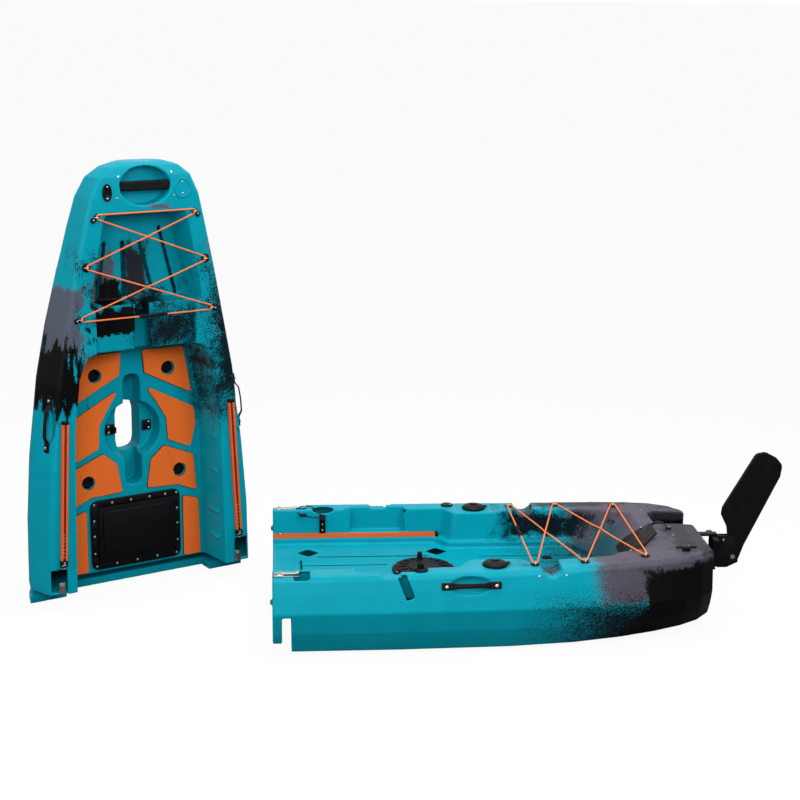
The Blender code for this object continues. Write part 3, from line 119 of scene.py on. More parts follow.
def set_studio():
    """Soft boxes round the object, a pale floor and a white backdrop."""
    scene = bpy.context.scene
    scene.view_settings.view_transform = "Standard"
    world = bpy.data.worlds.new("studio")
    scene.world = world
    world.use_nodes = True
    tree = world.node_tree
    tree.nodes.clear()
    path = add_node(tree, "ShaderNodeLightPath")
    fill = add_node(tree, "ShaderNodeBackground", {"Color": linear("#F4F6F8"), "Strength": 0.36})
    white = add_node(tree, "ShaderNodeBackground", {"Color": (1, 1, 1, 1), "Strength": 1.0})
    seen = path.outputs["Is Camera Ray"]
    for ray in ("Is Glossy Ray", "Is Transmission Ray"):
        either = add_node(tree, "ShaderNodeMath", {0: seen, 1: path.outputs[ray]}, operation="MAXIMUM")
        seen = either.outputs[0]
    both = add_node(tree, "ShaderNodeMixShader", {0: seen, 1: fill.outputs[0], 2: white.outputs[0]})
    add_node(tree, "ShaderNodeOutputWorld", {"Surface": both.outputs[0]})
    add_lamp("key_light", (-1.0, -4.8, 3.0), (-0.3, 0.0, 0.6), (2.2, 1.6), 105)
    add_lamp("top_light", (0.3, 0.2, 4.2), (0.1, 0.0, 0.2), (3.2, 2.4), 105)
    add_lamp("left_light", (-4.2, -2.6, 2.4), (-0.6, 0.0, 0.7), (1.8, 2.0), 75)
    add_lamp("right_light", (1.7, -2.2, 2.9), (-0.6, 0.1, 0.6), (1.8, 1.8), 58)

    bpy.ops.object.select_all(action="DESELECT")
    bpy.ops.mesh.primitive_plane_add(size=2400.0)
    floor = bpy.context.active_object
    floor.name = "floor"
    material = bpy.data.materials.new("painted_studio_floor")
    material.use_nodes = True
    tree = material.node_tree
    tree.nodes.clear()
    path = add_node(tree, "ShaderNodeLightPath")
    # the paint is pale to the camera, and throws back less light than it seems to
    tone = add_node(tree, "ShaderNodeMix", {0: path.outputs["Is Camera Ray"], 6: linear("#767676"),
                                            7: linear("#F4F4F4")}, data_type="RGBA")
    paint = add_node(tree, "ShaderNodeBsdfDiffuse", {"Color": tone.outputs[2]})
    glow = add_node(tree, "ShaderNodeEmission", {"Color": (1, 1, 1, 1), "Strength": 1.0})
    share = add_node(tree, "ShaderNodeMath", {0: path.outputs["Is Camera Ray"], 1: 0.94},
                     operation="MULTIPLY")
    both = add_node(tree, "ShaderNodeMixShader",
                    {0: share.outputs[0], 1: paint.outputs[0], 2: glow.outputs[0]})
    add_node(tree, "ShaderNodeOutputMaterial", {"Surface": both.outputs[0]})
    floor.data.materials.append(material)


# Materials

def new_material(name, **sockets):
    """A Principled material; its sockets are given by name."""
    material = bpy.data.materials.new(name)
    material.use_nodes = True
    tree = material.node_tree
    shader = tree.nodes["Principled BSDF"]
    for socket, value in sockets.items():
        shader.inputs[socket.replace("_", " ")].default_value = value
    return material, tree, shader


def add_grain(tree, shader, where, scale, height, strength=0.5):
    """Fine moulded grain as a bump: scale in grains a metre, height in metres."""
    noise = add_node(tree, "ShaderNodeTexNoise", {"Vector": where, "Scale": scale, "Detail": 3.0})
    bump = add_node(tree, "ShaderNodeBump", {"Height": noise.outputs["Fac"], "Strength": strength,
                                             "Distance": height})
    tree.links.new(bump.outputs[0], shader.inputs["Normal"])
    return bump


def add_wear(tree, shader, where, scale, low, high):
    """Roughness that wanders between two values, as handling and dust leave it."""
    noise = add_node(tree, "ShaderNodeTexNoise", {"Vector": where, "Scale": scale, "Detail": 5.0})
    rough = add_node(tree, "ShaderNodeMapRange", {"Value": noise.outputs["Fac"], "From Min": 0.35,
                                                  "From Max": 0.65, "To Min": low, "To Max": high})
    tree.links.new(rough.outputs[0], shader.inputs["Roughness"])


def patch(tree, where, below, colour, centre, halves, ragged, grain, stretch=(1.0, 1.0, 1.0), edge=0.12,
          dust=0.0):
    """Lay one patch of swirled-in colour over what is below it.

    The patch is a rounded box in boat coordinates; ragged is how far its edge
    wanders, as a share of its half sizes, grain the size of the swirls in metres
    and dust how far its rim breaks up into specks of loose powder.
    """
    offset = add_node(tree, "ShaderNodeVectorMath", {0: where, 1: centre}, operation="SUBTRACT")
    share = add_node(tree, "ShaderNodeVectorMath", {0: offset.outputs[0], 1: halves}, operation="DIVIDE")
    far = add_node(tree, "ShaderNodeVectorMath", {0: share.outputs[0]}, operation="ABSOLUTE")
    axes = add_node(tree, "ShaderNodeSeparateXYZ", {0: far.outputs[0]})
    wide = add_node(tree, "ShaderNodeMath", {0: axes.outputs[0], 1: axes.outputs[1]}, operation="MAXIMUM")
    most = add_node(tree, "ShaderNodeMath", {0: wide.outputs[0], 1: axes.outputs[2]}, operation="MAXIMUM")
    swirl = add_node(tree, "ShaderNodeVectorMath", {0: where, 1: [1.0 / (grain * s) for s in stretch]},
                     operation="MULTIPLY")
    noise = add_node(tree, "ShaderNodeTexNoise", {"Vector": swirl.outputs[0], "Scale": 1.0, "Detail": 7.0,
                                                  "Roughness": 0.62})
    wander = add_node(tree, "ShaderNodeMapRange", {"Value": noise.outputs["Fac"], "From Min": 0.3,
                                                   "From Max": 0.7, "To Min": -ragged, "To Max": ragged},
                      clamp=False)
    inside = add_node(tree, "ShaderNodeMath", {0: wander.outputs[0], 1: most.outputs[0]},
                      operation="SUBTRACT")
    if dust:
        # powder specks are about 4 mm, as coarse as they need to be to show
        powder = add_node(tree, "ShaderNodeTexNoise", {"Vector": where, "Scale": 260.0, "Detail": 2.0,
                                                       "Roughness": 0.8})
        specks = add_node(tree, "ShaderNodeMapRange", {"Value": powder.outputs["Fac"], "From Min": 0.35,
                                                       "From Max": 0.65, "To Min": -dust, "To Max": dust},
                          clamp=False)
        inside = add_node(tree, "ShaderNodeMath", {0: inside.outputs[0], 1: specks.outputs[0]})
    mask = add_node(tree, "ShaderNodeMapRange", {"Value": inside.outputs[0], "From Min": -1.0 - edge / 2,
                                                 "From Max": -1.0 + edge / 2},
                    interpolation_type="SMOOTHSTEP")
    mixed = add_node(tree, "ShaderNodeMix", {0: mask.outputs[0], 6: below, 7: colour}, data_type="RGBA")
    return mixed.outputs[2]


TEAL = linear("#0096AA")
DEEP_TEAL = linear("#00818F")
SLATE = linear("#525764")
MAUVE = linear("#4F4B57")
CHARCOAL = linear("#23252C")
NAVY = linear("#0A161E")
SOOT = linear("#040405")
DUSKY_TEAL = linear("#24505B")


def polyethylene(name, section, patches):
    """Rotomoulded polyethylene: a waxy half gloss with the mould's faint orange
    peel, swirled teal, slate and black where coloured powder was laid by hand."""
    material, tree, shader = new_material(name, IOR=1.51, Specular_IOR_Level=0.08)
    place = add_node(tree, "ShaderNodeTexCoord").outputs["Object"]
    boat = add_node(tree, "ShaderNodeMapping", {"Vector": place, "Location": section.to_translation(),
                                                "Rotation": section.to_euler()}, vector_type="TEXTURE")
    where = boat.outputs[0]
    mottle = add_node(tree, "ShaderNodeTexNoise", {"Vector": where, "Scale": 9.0, "Detail": 4.0})
    soft = add_node(tree, "ShaderNodeMapRange", {"Value": mottle.outputs["Fac"], "From Min": 0.35,
                                                 "From Max": 0.7, "To Min": 0.0, "To Max": 0.3})
    colour = add_node(tree, "ShaderNodeMix", {0: soft.outputs[0], 6: TEAL, 7: DEEP_TEAL},
                      data_type="RGBA").outputs[2]
    for settings in patches:
        colour = patch(tree, where, colour, **settings)
    tree.links.new(colour, shader.inputs["Base Color"])
    add_wear(tree, shader, where, 14.0, 0.34, 0.46)
    # orange peel of the mould, about 2 mm across
    add_grain(tree, shader, where, 420.0, 0.0004, 0.22)
    return material


BOW_PATCHES = [
    # grey band over the port side and gunwale, then the streaky black one behind it
    dict(colour=SLATE, centre=(-1.03, -0.42, 0.17), halves=(0.125, 0.172, 0.26), ragged=0.30, grain=0.09,
         stretch=(1.6, 1.0, 1.0), edge=0.22, dust=0.10),
    dict(colour=SOOT, centre=(-0.83, -0.42, 0.17), halves=(0.12, 0.172, 0.26), ragged=0.60, grain=0.035,
         stretch=(4.0, 0.8, 0.8), edge=0.10, dust=0.12),
    # starboard side, gunwale and inner wall, dusted in with dark blue
    dict(colour=SLATE, centre=(-1.10, 0.40, 0.26), halves=(0.17, 0.125, 0.20), ragged=0.35, grain=0.06,
         edge=0.25, dust=0.45),
    dict(colour=NAVY, centre=(-0.90, 0.42, 0.22), halves=(0.27, 0.165, 0.20), ragged=0.30, grain=0.05,
         edge=0.10, dust=0.42),
    dict(colour=CHARCOAL, centre=(-0.84, 0.28, 0.20), halves=(0.05, 0.04, 0.07), ragged=0.4, grain=0.03,
         dust=0.3),
    # front tank well
    dict(colour=NAVY, centre=(-1.15, -0.215, 0.245), halves=(0.11, 0.05, 0.055), ragged=0.35, grain=0.05,
         dust=0.35),
    dict(colour=SLATE, centre=(-1.16, -0.13, 0.19), halves=(0.09, 0.05, 0.02), ragged=0.4, grain=0.04,
         dust=0.25),
    dict(colour=CHARCOAL, centre=(-1.17, 0.005, 0.19), halves=(0.10, 0.045, 0.02), ragged=0.35, grain=0.06,
         edge=0.3, dust=0.3),
    dict(colour=SOOT, centre=(-1.09, -0.10, 0.21), halves=(0.075, 0.055, 0.045), ragged=0.35, grain=0.035,
         stretch=(2.0, 1.0, 1.0), dust=0.1),
    dict(colour=NAVY, centre=(-1.06, 0.03, 0.22), halves=(0.05, 0.07, 0.04), ragged=0.4, grain=0.03,
         dust=0.4),
    # the ridge between the wells
    dict(colour=SOOT, centre=(-1.01, -0.13, 0.26), halves=(0.05, 0.115, 0.04), ragged=0.35, grain=0.03,
         dust=0.1),
    dict(colour=NAVY, centre=(-0.965, 0.11, 0.26), halves=(0.075, 0.13, 0.03), ragged=0.4, grain=0.03,
         edge=0.2, dust=0.75),
    # faint smudge on the nose
    dict(colour=SLATE, centre=(-1.437, 0.055, 0.32), halves=(0.008, 0.035, 0.02), ragged=0.5, grain=0.02,
         edge=0.9, dust=0.5),
]
STERN_PATCHES = [
    # mauve over the aft deck, gunwales and the upper side
    dict(colour=MAUVE, centre=(1.45, 0.0, 0.37), halves=(0.300, 0.62, 0.205), ragged=0.08, grain=0.13,
         edge=0.20, dust=0.08),
    dict(colour=DUSKY_TEAL, centre=(1.26, 0.0, 0.22), halves=(0.11, 0.22, 0.045), ragged=0.4, grain=0.06,
         stretch=(2.0, 0.6, 1.0), edge=0.6, dust=0.25),
    # dark powder along the lower side, then solid black at the quarter; the black in the transom notch is
    # painted shade
    dict(colour=NAVY, centre=(1.52, 0.0, 0.01), halves=(0.46, 0.62, 0.166), ragged=0.06, grain=0.08,
         edge=0.20, dust=0.42),
    dict(colour=SOOT, centre=(1.62, -0.44, 0.10), halves=(0.30, 0.24, 0.188), ragged=0.10, grain=0.05,
         stretch=(1.0, 1.0, 1.6), edge=0.05, dust=0.05),
    dict(colour=SOOT, centre=(1.62, 0.44, 0.10), halves=(0.30, 0.24, 0.188), ragged=0.10, grain=0.05,
         stretch=(1.0, 1.0, 1.6), edge=0.05, dust=0.05),
    dict(colour=SOOT, centre=(1.56, 0.0, 0.0), halves=(0.34, 0.62, 0.150), ragged=0.16, grain=0.09,
         edge=0.10, dust=0.20),
    dict(colour=SOOT, centre=(1.68, 0.0, 0.08), halves=(0.15, 0.30, 0.17), ragged=0.12, grain=0.05),
    # painted shade: black laid over the transom notch's walls and floor, which lie in shade
    dict(colour=SOOT, centre=(1.55, 0.14, 0.26), halves=(0.07, 0.07, 0.035), ragged=0.2, grain=0.03),
    # dark smudges of the starboard gunwale and the well's walls
    dict(colour=CHARCOAL, centre=(1.22, 0.37, 0.31), halves=(0.20, 0.06, 0.03), ragged=0.55, grain=0.04,
         edge=0.4, dust=0.35),
    dict(colour=NAVY, centre=(1.07, 0.29, 0.25), halves=(0.17, 0.06, 0.045), ragged=0.35, grain=0.05,
         dust=0.35),
    dict(colour=NAVY, centre=(1.07, -0.29, 0.25), halves=(0.15, 0.06, 0.045), ragged=0.35, grain=0.05,
         dust=0.35),
    dict(colour=CHARCOAL, centre=(1.56, 0.0, 0.32), halves=(0.10, 0.25, 0.03), ragged=0.5, grain=0.06,
         edge=0.5, dust=0.2),
]


def deck_foam(name, section):
    """EVA foam sheet, routed with a fine diamond pattern of about 7 mm."""
    material, tree, shader = new_material(name, Roughness=0.86, Specular_IOR_Level=0.2)
    place = add_node(tree, "ShaderNodeTexCoord").outputs["Object"]
    boat = add_node(tree, "ShaderNodeMapping", {"Vector": place, "Location": section.to_translation(),
                                                "Rotation": section.to_euler()}, vector_type="TEXTURE")
    rows = []
    for turn in (35.0, -55.0):
        turned = add_node(tree, "ShaderNodeMapping", {"Vector": boat.outputs[0],
                                                      "Rotation": (0.0, 0.0, math.radians(turn))})
        # a wave band repeats every 0.314 / scale metres
        rows.append(add_node(tree, "ShaderNodeTexWave", {"Vector": turned.outputs[0], "Scale": 45.0,
                                                         "Distortion": 0.0}))
    high = add_node(tree, "ShaderNodeMath", {0: rows[0].outputs["Fac"], 1: rows[1].outputs["Fac"]},
                    operation="MULTIPLY")
    grain = add_node(tree, "ShaderNodeTexNoise", {"Vector": place, "Scale": 700.0, "Detail": 2.0})
    lumps = add_node(tree, "ShaderNodeMath", {0: grain.outputs["Fac"], 1: 0.25, 2: high.outputs[0]},
                     operation="MULTIPLY_ADD")
    bump = add_node(tree, "ShaderNodeBump", {"Height": lumps.outputs[0], "Strength": 0.7, "Distance": 0.0016})
    tree.links.new(bump.outputs[0], shader.inputs["Normal"])
    tone = add_node(tree, "ShaderNodeMix", {0: high.outputs[0], 6: linear("#E5590F"), 7: linear("#FF9A4A")},
                    data_type="RGBA")
    tree.links.new(tone.outputs[2], shader.inputs["Base Color"])
    return material


def main_materials():
    made = {"bow_hull": polyethylene("rotomoulded_polyethylene_bow", BOW, BOW_PATCHES),
            "stern_hull": polyethylene("rotomoulded_polyethylene_stern", STERN, STERN_PATCHES),
            "foam": deck_foam("routed_eva_foam", BOW)}
    plain = {
        # the foam's second, dark layer shows where the router cut through
        "foam_edge": ("eva_foam_core", "#151A1E", dict(Roughness=0.9, Specular_IOR_Level=0.2), 500.0,
                      0.0003),
        # glass-filled nylon: satin black from a spark-eroded mould, faintly grained
        "nylon": ("glass_filled_nylon", "#060607", dict(Roughness=0.46, Specular_IOR_Level=0.13), 900.0,
                  0.0002),
        # rubber: dull black, slightly dusty
        "rubber": ("moulded_rubber", "#070708", dict(Roughness=0.68, Specular_IOR_Level=0.14), 700.0, 0.0002),
        # anodised aluminium: metal under a dyed oxide, satin from the extrusion
        "anodised": ("anodised_aluminium", "#F56A2A", dict(Metallic=0.35, Roughness=0.4), 700.0, 0.0001),
        # the slot: the track's anodised aluminium darkened, as painted shade inside its channel
        "slot": ("anodised_aluminium_in_shade", "#A3180F", dict(Metallic=0.3, Roughness=0.5), 700.0, 0.0001),
        # stainless steel: rolled and tumbled, a soft bright polish
        "steel": ("tumbled_stainless_steel", "#B4B0A9", dict(Metallic=1.0, Roughness=0.3), 800.0, 0.0001),
        # brass insert screws, dulled
        "brass": ("dull_brass", "#A88A4A", dict(Metallic=1.0, Roughness=0.4), 800.0, 0.0001),
    }
    for key, (name, colour, sockets, scale, height) in plain.items():
        material, tree, shader = new_material(name, Base_Color=linear(colour), **sockets)
        place = add_node(tree, "ShaderNodeTexCoord").outputs["Object"]
        add_grain(tree, shader, place, scale, height, 0.35)
        rough = sockets["Roughness"]
        add_wear(tree, shader, place, 40.0, rough - 0.06, rough + 0.08)
        made[key] = material
    # the second colour of each cord is its painted highlight on the braid's crests
    made["cord"] = shock_cord("braided_shock_cord", "#EA5A17", "#F7AE72")
    made["black_cord"] = shock_cord("braided_black_cord", "#0B0B0C", "#1A1A1C")
    return made


def shock_cord(name, colour, highlight_colour):
    """Braided polyester sleeve: 16 strands cross over a rubber core, and the crests of the strands that lean
    one way are painted paler as painted highlight. The braid is drawn about 3 mm long, coarser than real, so
    that it shows."""
    material, tree, shader = new_material(name, Roughness=0.68, Specular_IOR_Level=0.3)
    along = add_node(tree, "ShaderNodeAttribute", attribute_name="cord")
    axes = add_node(tree, "ShaderNodeSeparateXYZ", {0: along.outputs["Vector"]})
    strands = []
    for way in (1.0, -1.0):
        lean = add_node(tree, "ShaderNodeMath", {0: axes.outputs[1], 1: 4.0 * way * math.tau},
                        operation="MULTIPLY")
        turn = add_node(tree, "ShaderNodeMath", {0: axes.outputs[0], 1: math.tau / 0.006, 2: lean.outputs[0]},
                        operation="MULTIPLY_ADD")
        strands.append(add_node(tree, "ShaderNodeMath", {0: turn.outputs[0]}, operation="SINE"))
    braid = add_node(tree, "ShaderNodeMath", {0: strands[0].outputs[0], 1: strands[1].outputs[0]},
                     operation="MAXIMUM")
    bump = add_node(tree, "ShaderNodeBump", {"Height": braid.outputs[0], "Strength": 0.6, "Distance": 0.0004})
    tree.links.new(bump.outputs[0], shader.inputs["Normal"])
    # painted highlight: the crests of the strands leaning one way get the paler colour
    painted_highlight = add_node(tree, "ShaderNodeMapRange", {"Value": strands[0].outputs[0], "From Min": 0.2,
                                                  "From Max": 0.9})
    tone = add_node(tree, "ShaderNodeMix", {0: painted_highlight.outputs[0], 6: linear(colour), 7: linear(highlight_colour)},
                    data_type="RGBA")
    tree.links.new(tone.outputs[2], shader.inputs["Base Color"])
    return material


MATERIALS = {}


# Modelling helpers

def activate(piece):
    bpy.ops.object.select_all(action="DESELECT")
    piece.select_set(True)
    bpy.context.view_layer.objects.active = piece


def apply_modifier(piece, kind, **settings):
    """Add a modifier with its settings and apply it."""
    activate(piece)
    modifier = piece.modifiers.new(kind.lower(), kind)
    for key, value in settings.items():
        setattr(modifier, key, value)
    bpy.ops.object.modifier_apply(modifier=modifier.name)


def pick(piece, kind, test):
    """In edit mode, select only the verts, edges or faces that pass a test."""
    bpy.ops.mesh.select_mode(type={"verts": "VERT", "edges": "EDGE", "faces": "FACE"}[kind])
    bpy.ops.mesh.select_all(action="DESELECT")
    mesh = bmesh.from_edit_mesh(piece.data)
    found = [item for item in getattr(mesh, kind) if test(item)]
    for item in found:
        item.select_set(True)
    bmesh.update_edit_mesh(piece.data)
    return len(found)


def settle(piece, matrix=None):
    """Put a piece where a matrix says and leave its object at the world's origin."""
    if matrix is not None:
        piece.matrix_world = matrix
    activate(piece)
    bpy.ops.object.transform_apply(location=True, rotation=True, scale=True)
    return piece


def block(name, low, high, bevel=0.0, turn=(0.0, 0.0, 0.0), steps=2):
    """A box between two corners, turned about its middle, its edges rounded."""
    bpy.ops.object.select_all(action="DESELECT")
    bpy.ops.mesh.primitive_cube_add(size=1.0, location=[(a + b) / 2 for a, b in zip(low, high)],
                                    scale=[b - a for a, b in zip(low, high)], rotation=turn)
    piece = settle(bpy.context.active_object)
    piece.name = name
    if bevel:
        apply_modifier(piece, "BEVEL", width=bevel, segments=steps)
    return piece


def strip(name, start, end, width, low, high, bevel=0.0):
    """A bar of the deck between two (x, y) points."""
    a, b = Vector(start), Vector(end)
    middle, length = (a + b) / 2, (b - a).length
    return block(name, (middle.x - length / 2, middle.y - width / 2, low),
                 (middle.x + length / 2, middle.y + width / 2, high), bevel,
                 (0.0, 0.0, math.atan2(b.y - a.y, b.x - a.x)))


def drum(name, centre, radius, height, axis="Z", sides=32, bevel=0.0, top=None):
    """A cylinder or cone, centred on a point, its rims rounded."""
    turn = {"Z": (0.0, 0.0, 0.0), "X": (0.0, math.pi / 2, 0.0), "Y": (-math.pi / 2, 0.0, 0.0)}[axis]
    bpy.ops.object.select_all(action="DESELECT")
    bpy.ops.mesh.primitive_cone_add(vertices=sides, radius1=radius, radius2=radius if top is None else top,
                                    depth=height, location=centre, rotation=turn)
    piece = settle(bpy.context.active_object)
    piece.name = name
    if bevel:
        apply_modifier(piece, "BEVEL", width=bevel, segments=2, limit_method="ANGLE",
                       angle_limit=math.radians(50))
    return piece


def twin(piece, matrix, name=None):
    """A copy with its own mesh, placed by a matrix."""
    copy = piece.copy()
    copy.data = piece.data.copy()
    copy.name = name or piece.name
    bpy.context.scene.collection.objects.link(copy)
    return settle(copy, matrix)


def joined(name, pieces):
    """Several meshes as one piece."""
    activate(pieces[0])
    for piece in pieces:
        piece.select_set(True)
    bpy.ops.object.join()
    piece = bpy.context.active_object
    piece.name = name
    return piece


def discard(piece):
    bpy.data.objects.remove(piece, do_unlink=True)


def carve(piece, cutter, operation="DIFFERENCE"):
    """Cut a shape out of a piece, or weld it on, and drop the shape."""
    apply_modifier(piece, "BOOLEAN", operation=operation, object=cutter, solver="EXACT")
    discard(cutter)


def smooth(piece, angle=35.0):
    activate(piece)
    bpy.ops.object.shade_smooth_by_angle(angle=math.radians(angle))
    return piece


def wire(name, points, radius, cyclic=False, sides=3):
    """A round bar along points, as a mesh whose "cord" attribute holds the length
    along it, in metres, and the share of the way round it."""
    curve = bpy.data.curves.new(name, "CURVE")
    curve.dimensions = "3D"
    curve.bevel_depth = radius
    curve.bevel_resolution = sides
    curve.use_fill_caps = not cyclic
    spline = curve.splines.new("POLY")
    spline.points.add(len(points) - 1)
    for slot, point in zip(spline.points, points):
        slot.co = (*point, 1.0)
    spline.use_cyclic_u = cyclic
    piece = bpy.data.objects.new(name, curve)
    bpy.context.scene.collection.objects.link(piece)
    activate(piece)
    bpy.ops.object.convert(target="MESH")
    piece = bpy.context.active_object
    ring = 2 * sides + 4
    lengths = [0.0]
    for a, b in zip(points, points[1:]):
        lengths.append(lengths[-1] + (Vector(b) - Vector(a)).length)
    store = piece.data.attributes.new("cord", "FLOAT_VECTOR", "POINT")
    for i, value in enumerate(store.data):
        row = min(i // ring, len(lengths) - 1)
        value.vector = (lengths[row], (i % ring) / ring, 0.0)
    bpy.ops.object.mode_set(mode="EDIT")
    bpy.ops.mesh.select_all(action="SELECT")
    bpy.ops.mesh.remove_doubles(threshold=0.000001)
    bpy.ops.mesh.normals_make_consistent(inside=False)
    bpy.ops.object.mode_set(mode="OBJECT")
    return smooth(piece, 60.0)


def copy_of(node, name):
    """A free copy of a CAD node's mesh, its loose triangles merged."""
    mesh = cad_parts[node].data.copy()
    mesh.materials.clear()
    piece = bpy.data.objects.new(name, mesh)
    bpy.context.scene.collection.objects.link(piece)
    activate(piece)
    bpy.ops.object.mode_set(mode="EDIT")
    bpy.ops.mesh.select_all(action="SELECT")
    bpy.ops.mesh.remove_doubles(threshold=0.00002)
    bpy.ops.object.mode_set(mode="OBJECT")
    return piece


def heights(piece, section):
    """Lowest and highest point of a piece in its boat frame."""
    home = section.inverted()
    levels = [(home @ vert.co).z for vert in piece.data.vertices]
    return min(levels), max(levels)


def dress(piece, material, body, *nodes):
    """Give a piece its finish, the body it rides on and the nodes it stands for."""
    piece.data.materials.clear()
    piece.data.materials.append(MATERIALS[material])
    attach(piece, body)
    if nodes:
        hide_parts(*nodes)
    return piece


def bevelled(node, name, width, steps=2):
    """A CAD node's shape with its edges rounded."""
    piece = copy_of(node, name)
    apply_modifier(piece, "BEVEL", width=width, segments=steps, limit_method="ANGLE",
                   angle_limit=math.radians(30), use_clamp_overlap=True)
    return smooth(piece)


def bevel_and_dress(node, name, width, material, body, steps=2):
    """A CAD node's shape with rounded edges and its finish, in the node's place."""
    return dress(bevelled(node, name, width, steps), material, body, node)


def melted(node, name, voxel, rounds=4, most=24000):
    """A CAD node's shape with the generous radii of a moulding."""
    piece = copy_of(node, name)
    apply_modifier(piece, "REMESH", mode="VOXEL", voxel_size=voxel)
    apply_modifier(piece, "SMOOTH", factor=0.5, iterations=rounds)
    apply_modifier(piece, "DECIMATE", ratio=min(1.0, most / (2 * len(piece.data.polygons))))
    activate(piece)
    bpy.ops.object.shade_smooth()
    return piece


def on_hull(shell, section, point, towards):
    """Place on a hull's skin, found from a boat point along a boat direction: a
    matrix with Z along the skin's normal and X along the boat."""
    turn = section.to_3x3()
    hit, spot, normal, _ = shell.ray_cast(section @ Vector(point), turn @ Vector(towards))
    along = turn @ Vector((1.0, 0.0, 0.0))
    along = (along - normal * along.dot(normal)).normalized()
    place = Matrix((along, normal.cross(along), normal)).transposed().to_4x4()
    place.translation = spot
    return place


def on_deck(shell, section, x, y):
    return on_hull(shell, section, (x, y, 0.40), (0.0, 0.0, -1.0))


def on_side(shell, section, x, z, side):
    return on_hull(shell, section, (x, side * 0.60, z), (0.0, -side, 0.0))


def make_screw():
    """Pan-head screw with a driver recess, head radius 4.2 mm, seat at z = 0."""
    piece = drum("screw", (0.0, 0.0, 0.0008), 0.0042, 0.0022, sides=14)
    bpy.ops.object.mode_set(mode="EDIT")
    pick(piece, "faces", lambda face: face.normal.z > 0.9)
    bpy.ops.mesh.inset(thickness=0.0011, depth=0.0006)
    bpy.ops.mesh.inset(thickness=0.0012)
    bpy.ops.mesh.inset(thickness=0.0002, depth=-0.0010)
    bpy.ops.object.mode_set(mode="OBJECT")
    return smooth(piece, 40.0)


def screw_set(name, template, places, body, material="steel", scale=1.0):
    """Screws at a list of matrices, as one piece."""
    size = Matrix.Scale(scale, 4)
    return dress(joined(name, [twin(template, place @ size) for place in places]), material, body)


# Hulls

def outer_shell(node, name, section, inside):
    """Copy of a hull with the wall of its hatch opening cut away, what comes loose
    dropped and the hole in the deck closed.  The inner skins of both hulls stay on,
    so the shells keep their thin walls."""
    piece = copy_of(node, name)
    home = section.inverted()
    turn = home.to_3x3()
    bpy.ops.object.mode_set(mode="EDIT")

    def is_wall(face):
        return abs((turn @ face.normal).z) < 0.1 and inside(home @ face.calc_center_median())

    pick(piece, "faces", is_wall)
    bpy.ops.mesh.delete(type="FACE")
    bpy.ops.mesh.select_all(action="SELECT")
    bpy.ops.mesh.separate(type="LOOSE")
    bpy.ops.object.mode_set(mode="OBJECT")
    parts = [obj for obj in bpy.context.selected_objects if obj.type == "MESH"]
    parts.sort(key=lambda obj: sum(obj.dimensions), reverse=True)
    shell = parts[0]
    for other in parts[1:]:
        discard(other)
    shell.name = name
    activate(shell)
    bpy.ops.object.mode_set(mode="EDIT")
    pick(shell, "edges", lambda edge: edge.is_boundary)
    bpy.ops.mesh.edge_face_add()
    bpy.ops.mesh.quads_convert_to_tris()
    bpy.ops.object.mode_set(mode="OBJECT")
    return shell


def moulded(piece, voxel=0.004, most=190000):
    """Melt a hull into one skin with the soft edges of a rotational mould."""
    apply_modifier(piece, "REMESH", mode="VOXEL", voxel_size=voxel)
    apply_modifier(piece, "SMOOTH", factor=0.5, iterations=3)
    count = 2 * len(piece.data.polygons)
    apply_modifier(piece, "DECIMATE", ratio=min(1.0, most / count))
    activate(piece)
    bpy.ops.object.shade_smooth()


PAD_HOLES = ((0.785, 0.150), (0.368, 0.190))
WALL_RIBS = (0.102, 0.210, 0.377, 0.515)


def carve_bow(shell):
    """Sunk and raised forms of the bow's mould, each cut in its boat frame."""
    cuts = [block("hold", (-0.258, -0.153, 0.026), (-0.046, 0.153, COCKPIT_FLOOR + 0.02), 0.004)]
    for side in (-1, 1):
        for d, y in PAD_HOLES:
            cuts.append(drum("scupper", (-d, side * y, COCKPIT_FLOOR), 0.0225, 0.050))
    # grooves of the front tank well's floor
    for start, end in (((-1.300, -0.112), (-1.085, -0.150)), ((-1.300, -0.042), (-1.090, -0.043)),
                       ((-1.300, 0.024), (-1.085, 0.078)), ((-1.345, 0.105), (-1.085, 0.168))):
        cuts.append(strip("tank_groove", start, end, 0.011, 0.1845, 0.22, 0.003))
    for y in (-0.057, 0.020, 0.094):
        cuts.append(block("front_slot", (-1.418, y - 0.016, 0.236), (-1.395, y + 0.016, 0.245)))
    for cutter in cuts:
        carve(shell, settle(cutter, BOW))
    # short foot-brace ribs that stand on the cockpit's inner walls
    for side in (-1, 1):
        for d in WALL_RIBS:
            y = side * 0.309
            rib = block("foot_rib", (-d - 0.007, y - 0.022, 0.190), (-d + 0.007, y + 0.022, 0.266), 0.004)
            carve(shell, settle(rib, BOW), "UNION")


